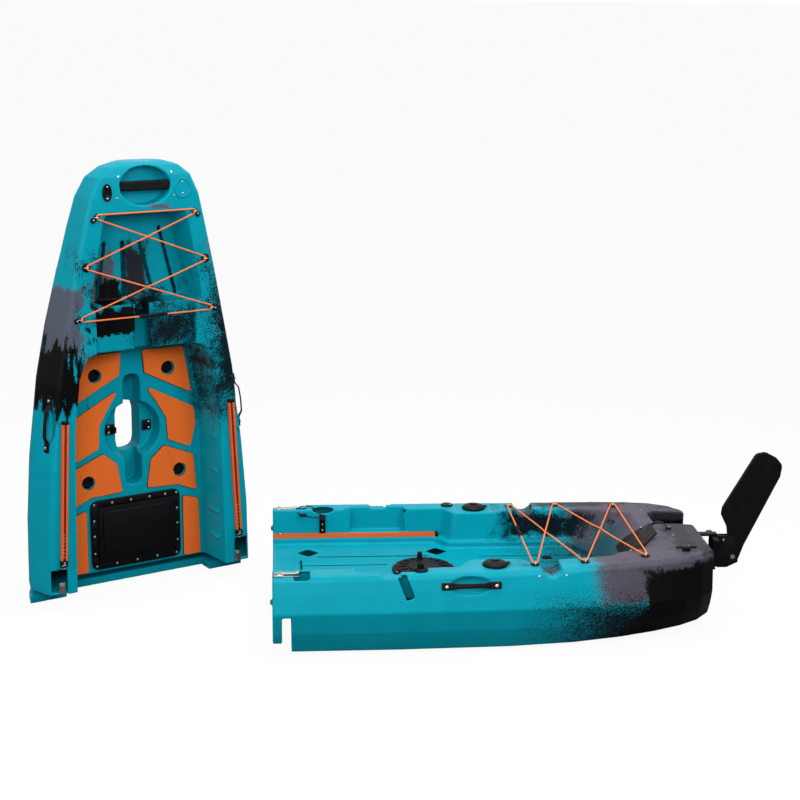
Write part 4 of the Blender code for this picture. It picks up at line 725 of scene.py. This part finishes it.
def carve_stern(shell):
    cuts = [drum("hold", (STERN_HATCH_X, 0.0, 0.11), 0.092, 0.18, sides=48)]
    for side in (-1, 1):
        for x in (0.136, 0.632):
            y = side * 0.212
            cuts.append(block("clip_recess", (x - 0.029, y - 0.029, SEAT_FLOOR - 0.0055),
                              (x + 0.029, y + 0.029, SEAT_FLOOR + 0.02), 0.004, (0.0, 0.0, math.pi / 4)))
        for y, x0, x1 in ((0.165, 0.165, 0.600), (0.070, 0.106, 0.437), (0.150, 0.790, 1.170),
                          (0.076, 0.790, 1.190)):
            cuts.append(strip("floor_groove", (x0, side * y), (x1, side * y), 0.010, SEAT_FLOOR - 0.004,
                              SEAT_FLOOR + 0.02, 0.003))
        y0, y1 = sorted((side * 0.362, side * 0.3695))
        cuts.append(block("pocket_back", (0.345, y0, 0.240), (0.475, y1, SHEER + 0.02), 0.003))
        y = side * 0.4215
        cuts.append(block("side_groove", (0.451, y - 0.012, 0.219), (0.479, y + 0.012, 0.309), 0.004,
                          (side * math.radians(20.6), math.radians(-22.0), 0.0)))
    for x, half, width in ((0.079, 0.225, 0.010), (0.106, 0.131, 0.009)):
        cuts.append(strip("floor_groove", (x, -half), (x, half), width, SEAT_FLOOR - 0.0035,
                          SEAT_FLOOR + 0.02, 0.003))
    bpy.ops.object.select_all(action="DESELECT")
    bpy.ops.mesh.primitive_uv_sphere_add(segments=32, ring_count=16, radius=1.0,
                                         location=(0.196, 0.345, 0.306), scale=(0.044, 0.036, 0.018))
    cuts.append(settle(bpy.context.active_object))
    for cutter in cuts:
        carve(shell, settle(cutter, STERN))


def make_hulls():
    def under_bow_hatch(point):
        return -0.27 < point.x < -0.03 and abs(point.y) < 0.16 and 0.12 < point.z < COCKPIT_FLOOR + 0.0005

    def under_stern_hatch(point):
        away = math.hypot(point.x - STERN_HATCH_X, point.y)
        return 0.085 < away < 0.095 and 0.15 < point.z < SEAT_FLOOR + 0.0005

    bow = outer_shell("bow_hull", "bow_hull_shell", BOW, under_bow_hatch)
    carve_bow(bow)
    moulded(bow)
    dress(bow, "bow_hull", "bow_section", "bow_hull")
    stern = outer_shell("stern_hull", "stern_hull_shell", STERN, under_stern_hatch)
    carve_stern(stern)
    moulded(stern)
    dress(stern, "stern_hull", "stern_section", "stern_hull")
    return bow, stern


# Shared fittings

def make_eye(style):
    """Pad eye in its own frame: the cord runs along X under a steel arch. A tab
    reaches outboard, +Y, on the corner eyes; the middle ones are round buttons."""
    if style == "tab":
        foot = block("pad_eye_foot", (-0.0095, -0.012, 0.0), (0.0095, 0.026, 0.0042), 0.0022, steps=3)
        carve(foot, block("ridge", (-0.0065, 0.007, 0.002), (0.0065, 0.023, 0.0060), 0.0015), "UNION")
    else:
        foot = drum("pad_eye_foot", (0.0, 0.0, 0.0022), 0.0165, 0.0044, bevel=0.0016)
    smooth(foot)
    arc = [math.pi * k / 16 for k in range(17)]
    arch = wire("pad_eye_ring", [(0.0, 0.0108 * math.cos(a), 0.0022 + 0.0108 * math.sin(a)) for a in arc],
                0.0018)
    return foot, arch


def place_eyes(prefix, section, body, eyes, sign, screw, styles):
    templates = {style: make_eye(style) for style in set(styles)}
    screws = []
    labels = ("top", "mid", "low") if sign < 0 else ("fore", "mid", "aft")
    for (d, y), label, style in zip(eyes, labels, styles):
        for side, word in SIDES:
            node = f"{prefix}_pad_eye_{label}_{word}"
            base = heights(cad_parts[node], section)[0]
            seat = section @ Matrix.Translation((sign * d, side * y, base - 0.0002))
            lean = 0.0 if style == "button" else (0.75 if label in ("top", "fore") else 0.30) * side * sign
            foot, arch = templates[style]
            facing = Matrix.Rotation(math.pi, 4, "Z") if side < 0 else Matrix()
            turn = Matrix.Rotation(lean, 4, "Z") @ facing
            piece = twin(foot, seat @ turn, f"{prefix}_eye_foot_{label}_{word}")
            dress(piece, "nylon", body, node)
            dress(twin(arch, seat, f"{prefix}_eye_ring_{label}_{word}"), "steel", body)
            if style == "tab":
                screws.append(seat @ turn @ Matrix.Translation((0.0, 0.016, 0.0060)))
            else:
                screws.append(seat @ Matrix.Translation((0.0, -side * 0.0045, 0.0044)))
    screw_set(f"{prefix}_eye_screws", screw, screws, body, scale=0.85)
    for foot, arch in templates.values():
        discard(foot)
        discard(arch)


def crossing(a, b, c, d):
    """How far along a-b it crosses c-d, seen from above, or None."""
    r, s = b - a, d - c
    cross = r.x * s.y - r.y * s.x
    if abs(cross) < 1e-9:
        return None
    t = ((c.x - a.x) * s.y - (c.y - a.y) * s.x) / cross
    u = ((c.x - a.x) * r.y - (c.y - a.y) * r.x) / cross
    return t if 0.05 < t < 0.95 and 0.05 < u < 0.95 else None


def lacing(name, stops):
    """One closed loop of shock cord through the pad eyes: a small bend at each,
    and a shallow hump where two runs cross. Its straight runs come back with it."""
    bend = 0.009
    count = len(stops)
    turns = []
    for i, stop in enumerate(stops):
        ahead = 1.0 if stops[(i + 1) % count].x > stops[i - 1].x else -1.0
        outward = 1.0 if stop.y > 0 else -1.0
        centre = stop - Vector((0.0, outward * bend, 0.0))
        turns.append([centre + Vector((ahead * bend * math.sin(a), outward * bend * math.cos(a), 0.0))
                      for a in (math.radians(-70 + 14 * k) for k in range(11))])
    runs = [(turns[i][-1], turns[(i + 1) % count][0]) for i in range(count)]
    points = []
    for i in range(count):
        points.extend(turns[i])
        start, end = runs[i]
        humps = [(hit, 1.0 if i < j else -1.0) for j, other in enumerate(runs)
                 if (hit := crossing(start, end, *other)) is not None]
        length = (end - start).length
        for k in range(1, 24):
            t = k / 24
            rise = sum(way * (CORD_R + 0.0006) * math.exp(-((t - hit) * length / 0.035) ** 2)
                       for hit, way in humps)
            points.append(start.lerp(end, t) + Vector((0.0, 0.0, rise)))
    return wire(name, points, CORD_R, cyclic=True, sides=4), runs


def make_cord(prefix, section, body, eyes, order, sign):
    """The section's shock cord, along the CAD's route; gives its first run."""
    lift = 0.003 + CORD_R + 0.0006
    stops = []
    for index, side in order:
        label = (("top", "mid", "low") if sign < 0 else ("fore", "mid", "aft"))[index]
        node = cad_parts[f"{prefix}_pad_eye_{label}_{'port' if side < 0 else 'starboard'}"]
        base = heights(node, section)[0]
        stops.append(Vector((sign * eyes[index][0], side * eyes[index][1], base + lift)))
    cord, runs = lacing(f"{prefix}_braided_cord", stops)
    dress(settle(cord, section), "cord", body, f"{prefix}_shock_cord")
    return runs[0]


def cord_joiner(name, start, end, section, body):
    """Moulded sleeve that joins the cord's ends, with a waist and two collars."""
    a, b = Vector(start), Vector(end)
    length = (b - a).length
    profile = [(0.0, 0.0), (0.0046, 0.0), (0.0062, 0.004), (0.0062, 0.020), (0.0074, 0.024), (0.0074, 0.034),
               (0.0056, 0.038), (0.0056, length - 0.038), (0.0074, length - 0.034), (0.0074, length - 0.024),
               (0.0062, length - 0.020), (0.0062, length - 0.004), (0.0046, length), (0.0, length)]
    piece = turned(name, profile, 20)
    turn = (b - a).to_track_quat("Z", "Y").to_matrix().to_4x4()
    settle(piece, section @ Matrix.Translation(a) @ turn)
    dress(piece, "rubber", body)


def turned(name, profile, steps=32):
    """A piece spun about Z from its (radius, height) profile."""
    mesh = bpy.data.meshes.new(name)
    mesh.from_pydata([(r, 0.0, z) for r, z in profile], [(i, i + 1) for i in range(len(profile) - 1)], [])
    piece = bpy.data.objects.new(name, mesh)
    bpy.context.scene.collection.objects.link(piece)
    activate(piece)
    bpy.ops.object.mode_set(mode="EDIT")
    bpy.ops.mesh.select_all(action="SELECT")
    bpy.ops.mesh.spin(steps=steps, angle=math.tau, center=(0.0, 0.0, 0.0), axis=(0.0, 0.0, 1.0))
    bpy.ops.mesh.select_all(action="SELECT")
    bpy.ops.mesh.remove_doubles(threshold=0.00001)
    bpy.ops.mesh.normals_make_consistent(inside=False)
    bpy.ops.object.mode_set(mode="OBJECT")
    return smooth(piece)


def dress_handles(prefix, section, body, screw):
    for side, word in SIDES:
        node = f"{prefix}_carry_handle_{word}"
        piece = melted(node, f"{prefix}_strap_handle_{word}", 0.0013, 3)
        dress(piece, "nylon", body, node)
        home = section.inverted()
        spots = [home @ vert.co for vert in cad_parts[node].data.vertices]
        low, high = min(p.x for p in spots), max(p.x for p in spots)
        places = []
        for x in (low + 0.018, high - 0.018):
            places.append(on_hull(piece, section, (x, side * 0.60, 0.262), (0.0, -side, 0.0)))
        screw_set(f"{prefix}_handle_screws_{word}", screw, places, body, scale=1.35)


def dress_track(prefix, word, section, body, start, end, base, bare_front=False):
    """Painted shade for the slot, and the end caps of one gear track; gives its seat and length."""
    a, b = Vector(start), Vector(end)
    along = (b - a).normalized()
    turn = Matrix.Rotation(math.atan2(along.y, along.x), 4, "Z")
    seat = section @ Matrix.Translation((a.x, a.y, base)) @ turn
    length = (b - a).length
    # painted shade: a dark red strip in the channel stands in for the slot's shade
    slot_shade = block(f"{prefix}_track_slot_shade_{word}", (0.001, -0.0086, 0.0032), (length - 0.001, 0.0086, 0.0052),
                  0.0006)
    dress(settle(slot_shade, seat), "slot", body)
    caps = []
    if not bare_front:
        caps.append(block("cap", (-0.013, -0.0135, 0.0), (-0.0004, 0.0135, 0.0150), 0.004, steps=3))
    end_cap = length + (0.013 if bare_front else 0.026)
    caps.append(block("cap", (length + 0.0004, -0.0135, 0.0), (end_cap, 0.0135, 0.0150), 0.004, steps=3))
    piece = smooth(joined(f"{prefix}_track_caps_{word}", caps))
    dress(settle(piece, seat), "nylon", body)
    return seat, length


def ring_at(name, place, radius, body, lean=0.35):
    """Small steel lashing ring that lies almost flat."""
    circle = [math.tau * k / 24 for k in range(24)]
    points = [(radius * math.cos(a), radius * math.sin(a), 0.0) for a in circle]
    ring = wire(name, points, 0.0016, cyclic=True)
    settle(ring, place @ Matrix.Rotation(lean, 4, "Y"))
    return dress(ring, "steel", body)


# Bow section

def make_bow(shell, screw):
    body = "bow_section"
    for label in ("fore", "mid", "aft", "side"):
        for _, word in SIDES:
            dress_pad(f"floor_pad_{label}_{word}", body)
    plug = turned("plug", [(0.0, 0.0), (0.0220, 0.0), (0.0220, 0.006), (0.0200, 0.008), (0.013, 0.008),
                           (0.012, 0.0065), (0.004, 0.0065), (0.003, 0.009), (0.0, 0.009)], 28)
    for d, y in PAD_HOLES:
        for side, word in SIDES:
            seat = BOW @ Matrix.Translation((-d, side * y, COCKPIT_FLOOR - 0.0255))
            dress(twin(plug, seat, f"scupper_plug_{'fore' if d > 0.5 else 'aft'}_{word}"), "rubber", body)
    discard(plug)
    place_eyes("bow", BOW, body, BOW_EYES, -1, screw, ("tab", "button", "tab"))
    order = ((2, -1), (2, 1), (1, -1), (0, 1), (0, -1), (1, 1))
    a, b = make_cord("bow", BOW, body, BOW_EYES, order, -1)
    cord_joiner("bow_cord_joiner", a.lerp(b, 0.43), a.lerp(b, 0.65), BOW, body)
    dress_handles("bow", BOW, body, screw)
    base = heights(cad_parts["bow_gear_track_port"], BOW)[0]
    for side, word in SIDES:
        seat, length = dress_track("bow", word, BOW, body, (-0.660, side * 0.336), (-0.140, side * 0.362),
                                   base)
        row = [seat @ Matrix.Translation((length - 0.012 - 0.0145 * k, 0.0, 0.0052)) for k in range(7)]
        screw_set(f"bow_track_screws_{word}", screw, row, body, scale=0.8)
        cap_screw = seat @ Matrix.Translation((length + 0.010, 0.0, 0.0150))
        screw_set(f"bow_track_cap_screw_{word}", screw, [cap_screw], body, scale=1.1)
        place = seat @ Matrix.Translation((length + 0.0255, 0.0, 0.0110))
        ring_at(f"bow_track_ring_{word}", place, 0.0105, body, 0.5)
    make_bow_hatch(screw)
    make_nose(shell, screw)
    for _, word in SIDES:
        node = f"drive_clip_{word}"
        bevel_and_dress(node, f"drive_clamp_{word}", 0.0018, "nylon", body)
    places = [BOW @ Matrix.Translation((-0.555 + step, side * 0.0835, 0.0953))
              for side, _ in SIDES for step in (-0.012, 0.012)]
    screw_set("drive_clamp_screws", screw, places, body)
    make_side_rows(shell, screw)
    for _, word in SIDES:
        node = f"latch_keeper_{word}"
        bevel_and_dress(node, f"latch_hook_{word}", 0.0008, "steel", body)


def dress_pad(node, body):
    """Foam pad: the routed edge shows the sheet's dark second layer."""
    piece = copy_of(node, node.replace("floor_pad", "deck_foam"))
    apply_modifier(piece, "BEVEL", width=0.0026, segments=1, limit_method="ANGLE",
                   angle_limit=math.radians(40))
    dress(piece, "foam", body, node)
    piece.data.materials.append(MATERIALS["foam_edge"])
    up = BOW.to_3x3() @ Vector((0.0, 0.0, 1.0))
    for face in piece.data.polygons:
        face.material_index = 0 if face.normal.dot(up) > 0.95 else 1


def make_bow_hatch(screw):
    """Rectangular hatch: rim with clamp lugs and screws, and the lid in it."""
    rim = bevelled("bow_hatch_frame", "bow_hatch_rim", 0.0016)
    top = COCKPIT_FLOOR + DECK_GAP + 0.008
    lugs = []
    for y in (-0.135, -0.06, 0.02, 0.095, 0.150):
        lugs.append(block("lug", (-0.289, y - 0.018, top - 0.001), (-0.268, y + 0.018, top + 0.0022), 0.0012))
    for d in (0.045, 0.115, 0.185, 0.240):
        for y0, y1 in ((-0.184, -0.163), (0.163, 0.184)):
            lugs.append(block("lug", (-d - 0.018, y0, top - 0.001), (-d + 0.018, y1, top + 0.0022), 0.0012))
    lugs = [smooth(settle(lug, BOW)) for lug in lugs]
    dress(joined("bow_hatch_rim", [rim] + lugs), "nylon", "bow_section", "bow_hatch_frame")
    spots = [(0.277, y) for y in (-0.172, -0.098, -0.020, 0.058, 0.124, 0.172)]
    spots += [(d, y) for d in (0.212, 0.150, 0.080) for y in (-0.174, 0.174)]
    spots += [(0.027, y) for y in (-0.168, -0.085, 0.0, 0.085, 0.168)]
    screw_set("bow_hatch_screws", screw, [BOW @ Matrix.Translation((-d, y, top + 0.0003)) for d, y in spots],
              "bow_section", scale=1.1)
    lid = bevelled("bow_hatch_lid", "bow_hatch_cover", 0.0024, 3)
    dress(lid, "nylon", "bow_hatch_lid", "bow_hatch_lid")


def make_nose(shell, screw):
    body = "bow_section"
    dress(melted("bow_grab_bar", "bow_grip", 0.0016, 5), "rubber", body, "bow_grab_bar")
    drain = bevelled("bow_drain_fitting", "bow_drain_plug", 0.0018)
    top = heights(drain, BOW)[1]
    cutter = settle(drum("thumb_hole", (-1.497, -0.150, top), 0.0095, 0.006), BOW)
    carve(drain, cutter)
    bar = block("thumb_bar", (-1.505, -0.1525, top - 0.004), (-1.489, -0.1475, top - 0.0005), 0.001)
    carve(drain, settle(bar, BOW), "UNION")
    dress(smooth(drain), "nylon", body, "bow_drain_fitting")
    places = [BOW @ Matrix.Translation((-1.497 + step, -0.150, top)) for step in (-0.021, 0.021)]
    screw_set("bow_drain_screws", screw, places, body, scale=0.9)
    ring = turned("nose_plug_ring", [(0.0268, -0.001), (0.0268, 0.0016), (0.0288, 0.0030), (0.0312, 0.0030),
                                     (0.0332, 0.0016), (0.0332, -0.001), (0.0268, -0.001)], 48)
    settle(ring, on_deck(shell, BOW, -1.501, 0.146) @ Matrix.Diagonal((1.12, 1.0, 1.0, 1.0)))
    dress(ring, "bow_hull", body)
    spots = ((-1.552, -0.104), (-1.474, -0.112), (-1.560, 0.104), (-1.474, 0.112), (-1.480, 0.146),
             (-1.522, 0.146))
    screw_set("bow_nose_screws", screw, [on_deck(shell, BOW, x, y) for x, y in spots], body, scale=0.9)


def make_side_rows(shell, screw):
    """Insert screws of the wall ribs and the beaded line along the cockpit floor."""
    body = "bow_section"
    places = [on_hull(shell, BOW, (-d, side * 0.20, 0.218), (0.0, side, 0.0))
              for d in WALL_RIBS[1:] for side in (-1, 1)]
    screw_set("rib_screws", screw, places, body, "brass", 0.8)
    bpy.ops.object.select_all(action="DESELECT")
    bpy.ops.mesh.primitive_ico_sphere_add(subdivisions=1, radius=0.0016)
    bead = settle(bpy.context.active_object)
    bpy.ops.object.mode_set(mode="EDIT")
    pick(bead, "faces", lambda face: True)
    bpy.ops.transform.resize(value=(1.3, 1.0, 0.7))
    bpy.ops.object.mode_set(mode="OBJECT")
    for side, word in SIDES:
        beads = []
        for k in range(92):
            d = 0.012 + 0.0067 * k
            y = side * (0.287 - 0.016 * d / 0.62)
            beads.append(twin(bead, on_deck(shell, BOW, -d, y)))
        row = joined(f"bead_line_{word}", beads)
        dress(row, "bow_hull", body)
    discard(bead)


# Stern section

def make_stern(shell, screw):
    body = "stern_section"
    place_eyes("stern", STERN, body, STERN_EYES, 1, screw, ("button", "button", "button"))
    order = ((0, 1), (0, -1), (1, 1), (2, -1), (2, 1), (1, -1))
    a, b = make_cord("stern", STERN, body, STERN_EYES, order, 1)
    cord_joiner("stern_cord_joiner", a.lerp(b, 0.40), a.lerp(b, 0.57), STERN, body)
    dress_handles("stern", STERN, body, screw)
    for side, word in SIDES:
        y = side * 0.318
        seat, length = dress_track("stern", word, STERN, body, (0.003, y), (0.636, y), LEDGE + DECK_GAP, True)
        ring_at(f"stern_track_ring_{word}", STERN @ Matrix.Translation((0.030, side * 0.328, 0.2120)),
                0.0100, body, 0.15)
    make_stern_hatch(screw)
    make_seat_fittings(shell, screw)
    make_latches()
    make_steering(screw)
    make_aft_deck(shell, screw)
    make_rudder(screw)


def make_stern_hatch(screw):
    bevel_and_dress("stern_hatch_ring", "stern_hatch_rim", 0.0014, "nylon", "stern_section")
    top = SEAT_FLOOR + DECK_GAP + 0.010
    circle = [math.tau * (k + 0.5) / 8 for k in range(8)]
    spots = [(STERN_HATCH_X + 0.1108 * math.cos(a), 0.1108 * math.sin(a)) for a in circle]
    screw_set("stern_hatch_screws", screw, [STERN @ Matrix.Translation((x, y, top)) for x, y in spots],
              "stern_section", scale=0.8)
    lid = bevelled("stern_hatch_lid", "stern_hatch_cover", 0.0014)
    height = heights(lid, STERN)[1]
    middle = STERN @ Matrix.Translation((STERN_HATCH_X, 0.0, 0.0))
    grips = []
    for k in range(16):
        grip = block("grip", (0.066, -0.0032, height - 0.0055), (0.094, 0.0032, height - 0.0005), 0.0014)
        grips.append(smooth(settle(grip, middle @ Matrix.Rotation(math.tau * k / 16, 4, "Z"))))
    lid = joined("stern_hatch_cover", [lid] + grips)
    dress(lid, "nylon", "stern_hatch_lid", "stern_hatch_lid")
    for side, word in SIDES:
        bevel_and_dress(f"rod_holder_{word}", f"rod_tube_{word}", 0.0008, "nylon", "stern_section")
        cap = bevelled(f"rod_holder_lid_{word}", f"rod_cap_{word}", 0.0016)
        height = heights(cap, STERN)[1]
        tab = smooth(settle(block("tab", (0.800, side * 0.325 - 0.010, height - 0.0090),
                                  (0.842, side * 0.325 + 0.010, height - 0.0055), 0.0014), STERN))
        bar = smooth(settle(block("bar", (0.774, side * 0.325 - 0.004, height - 0.002),
                                  (0.802, side * 0.325 + 0.004, height + 0.0035), 0.0016), STERN))
        dress(joined(f"rod_cap_{word}", [cap, tab, bar]), "nylon", f"rod_holder_lid_{word}",
              f"rod_holder_lid_{word}")


def make_seat_fittings(shell, screw):
    """Seat clips, floor screws, drain plugs and the small lid of the starboard rim."""
    body = "stern_section"
    foot = block("foot", (-0.022, -0.009, 0.0), (0.022, 0.009, 0.004), 0.0016)
    carve(foot, block("bridge", (-0.013, -0.007, 0.002), (0.013, 0.007, 0.013), 0.003), "UNION")
    carve(foot, block("way", (-0.009, -0.02, 0.0045), (0.009, 0.02, 0.0095), 0.001))
    smooth(foot)
    screws = []
    for x, label in ((0.136, "fore"), (0.632, "aft")):
        for side, word in SIDES:
            seat = on_deck(shell, STERN, x, side * 0.186)
            dress(twin(foot, seat, f"seat_clip_{label}_{word}"), "nylon", body)
            screws += [seat @ Matrix.Translation((step, 0.0, 0.004)) for step in (-0.0175, 0.0175)]
    discard(foot)
    screw_set("seat_clip_screws", screw, screws, body, scale=0.7)
    spots = ((0.248, 0.019), (0.297, 0.017), (0.248, -0.019), (0.297, -0.017))
    screw_set("seat_floor_screws", screw, [on_deck(shell, STERN, x, y) for x, y in spots], body, scale=0.9)
    plug = turned("plug", [(0.0, 0.0), (0.017, 0.0), (0.017, 0.003), (0.015, 0.005), (0.009, 0.005),
                           (0.008, 0.0035), (0.003, 0.0035), (0.002, 0.006), (0.0, 0.006)], 28)
    for side, word in SIDES:
        seat = on_deck(shell, STERN, 1.049, side * 0.113) @ Matrix.Diagonal((1.25, 0.8, 1.0, 1.0))
        dress(twin(plug, seat, f"tank_drain_plug_{word}"), "rubber", body)
    discard(plug)
    lid = turned("accessory_lid_starboard", [(0.0, 0.0), (0.024, 0.0), (0.024, 0.003), (0.021, 0.006),
                                             (0.010, 0.007), (0.0, 0.007)], 32)
    settle(lid, on_deck(shell, STERN, 0.687, 0.366))
    dress(lid, "nylon", body)
    screw_set("accessory_lid_screw", screw, [on_deck(lid, STERN, 0.700, 0.358)], body, scale=0.9)
    cap = turned("cap", [(0.0, 0.0), (0.0086, 0.0), (0.0086, 0.0035), (0.0066, 0.0050), (0.0, 0.0050)], 20)
    for side, word in SIDES:
        middle = STERN @ Matrix.Translation((-0.0025, side * 0.400, 0.208))
        seat = middle @ Matrix.Rotation(-math.pi / 2, 4, "Y")
        dress(twin(cap, seat, f"peg_cap_{word}"), "rubber", body)
    discard(cap)


def make_latches():
    """Steel draw latches on the rim, with the wire that hooks on to the keeper."""
    for side, word in SIDES:
        lever = f"latch_lever_{word}"
        for node, body in ((f"latch_base_{word}", "stern_section"), (lever, lever)):
            bevel_and_dress(node, node.replace("latch", "draw_latch"), 0.0005, "steel", body, 1)
        y, z = side * 0.3655, 0.2966
        half = 0.0150
        points = [(0.040, y - half, z), (0.010, y - half, z)]
        points += [(0.010 - 0.008 * math.sin(a), y - half + 0.008 * (1 - math.cos(a)), z)
                   for a in (math.pi / 2 * k / 5 for k in range(1, 6))]
        points += [(0.010 - 0.008 * math.cos(a), y + half - 0.008 * (1 - math.sin(a)), z)
                   for a in (math.pi / 2 * k / 5 for k in range(5))]
        points += [(0.010, y + half, z), (0.040, y + half, z)]
        bail = settle(wire(f"draw_latch_wire_{word}", points, 0.0016), STERN)
        dress(bail, "steel", "stern_section")


def make_steering(screw):
    dress(melted("steering_base", "steering_dial", 0.0009, 3), "nylon", "stern_section", "steering_base")
    dress(melted("steering_lever", "steering_handle", 0.0009, 3), "nylon", "steering_lever", "steering_lever")
    bracket = bevelled("paddle_bracket", "paddle_hook", 0.0014)
    dress(bracket, "nylon", "stern_section", "paddle_bracket")
    places = [on_hull(bracket, STERN, (0.194, 0.20, z), (0.0, 1.0, 0.0)) for z in (0.222, 0.246)]
    screw_set("paddle_hook_screws", screw, places, "stern_section", scale=0.8)
    # paddle keeper: a short black cord, both of its ends held at the bracket's head
    loop = [(0.194, 0.316, 0.276), (0.176, 0.312, 0.279), (0.150, 0.314, 0.281), (0.122, 0.320, 0.283),
            (0.100, 0.330, 0.290), (0.096, 0.344, 0.302), (0.108, 0.358, 0.3085), (0.130, 0.364, 0.3095),
            (0.150, 0.358, 0.3085), (0.163, 0.346, 0.3060), (0.172, 0.336, 0.3000), (0.184, 0.328, 0.290),
            (0.196, 0.324, 0.280)]
    smooth_loop = []
    for i in range(len(loop)):
        p0, p1, p2, p3 = (Vector(loop[(i + k) % len(loop)]) for k in (-1, 0, 1, 2))
        for k in range(4):
            t = k / 4
            smooth_loop.append(0.5 * (2 * p1 + (p2 - p0) * t + (2 * p0 - 5 * p1 + 4 * p2 - p3) * t ** 2
                                      + (3 * p1 - p0 - 3 * p2 + p3) * t ** 3))
    cord = settle(wire("paddle_keeper_cord", smooth_loop, 0.0022, cyclic=True), STERN)
    dress(cord, "black_cord", "stern_section")
    toggle = turned("paddle_keeper_toggle", [(0.0, 0.0), (0.004, 0.0), (0.0062, 0.003), (0.0050, 0.014),
                                             (0.0062, 0.025), (0.004, 0.028), (0.0, 0.028)], 18)
    settle(toggle, STERN @ Matrix.Translation((0.104, 0.325, 0.285)) @ Matrix.Rotation(math.pi / 2, 4, "Y"))
    dress(toggle, "rubber", "stern_section")


def make_aft_deck(shell, screw):
    body = "stern_section"
    plate = bevelled("aft_cover_plate", "aft_plate", 0.0016)
    dress(plate, "nylon", body, "aft_cover_plate")
    places = [on_deck(plate, STERN, x, y) for x, y in ((1.385, 0.005), (1.325, -0.105))]
    screw_set("aft_plate_screws", screw, places, body, scale=1.2)
    strap = melted("stern_strap_handle", "aft_strap_handle", 0.0010, 3)
    dress(strap, "rubber", body, "stern_strap_handle")
    places = [on_deck(strap, STERN, 1.450 + step, 0.0) for step in (-0.041, 0.041)]
    screw_set("aft_strap_screws", screw, places, body)
    cleat = melted("stern_cleat", "aft_cleat", 0.0009, 3)
    dress(cleat, "nylon", body, "stern_cleat")
    places = [on_deck(cleat, STERN, 1.494 + step, -0.252) for step in (-0.008, 0.008)]
    screw_set("aft_cleat_screws", screw, places, body, scale=0.6)
    spots = ((1.435, 0.223), (1.487, 0.221), (1.487, -0.082), (1.590, -0.120))
    screw_set("aft_deck_screws", screw, [on_deck(shell, STERN, x, y) for x, y in spots], body)
    spots = [(x, 0.286, side) for x in (0.936, 1.034) for side in (-1, 1)]
    screw_set("paddle_rest_screws", screw, [on_side(shell, STERN, x, z, side) for x, z, side in spots], body,
              scale=0.9)


def make_rudder(screw):
    bevel_and_dress("rudder_bracket", "rudder_gudgeons", 0.0016, "nylon", "stern_section")
    head = bevelled("rudder_head", "rudder_cheeks", 0.0016)
    dress(head, "nylon", "rudder_head", "rudder_head")
    blade = melted("rudder_blade", "rudder_fin", 0.0022, 5, 30000)
    dress(blade, "nylon", "rudder_blade", "rudder_blade")
    spots = ((1.700, 0.278), (1.760, 0.268))
    for side, word in SIDES:
        places = [on_side(head, STERN, x, z, side) for x, z in spots]
        screw_set(f"rudder_cheek_screws_{word}", screw, places, "rudder_head", scale=1.1)
    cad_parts["blade_bolt"].data.materials.clear()
    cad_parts["blade_bolt"].data.materials.append(MATERIALS["steel"])


def main():
    set_camera()
    set_studio()
    MATERIALS.update(main_materials())
    bow, stern = make_hulls()
    screw = make_screw()
    make_bow(bow, screw)
    make_stern(stern, screw)
    discard(screw)
    for prefix in ("bow", "stern"):
        for _, word in SIDES:
            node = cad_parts[f"{prefix}_gear_track_{word}"]
            node.data.materials.clear()
            node.data.materials.append(MATERIALS["anodised"])


main()
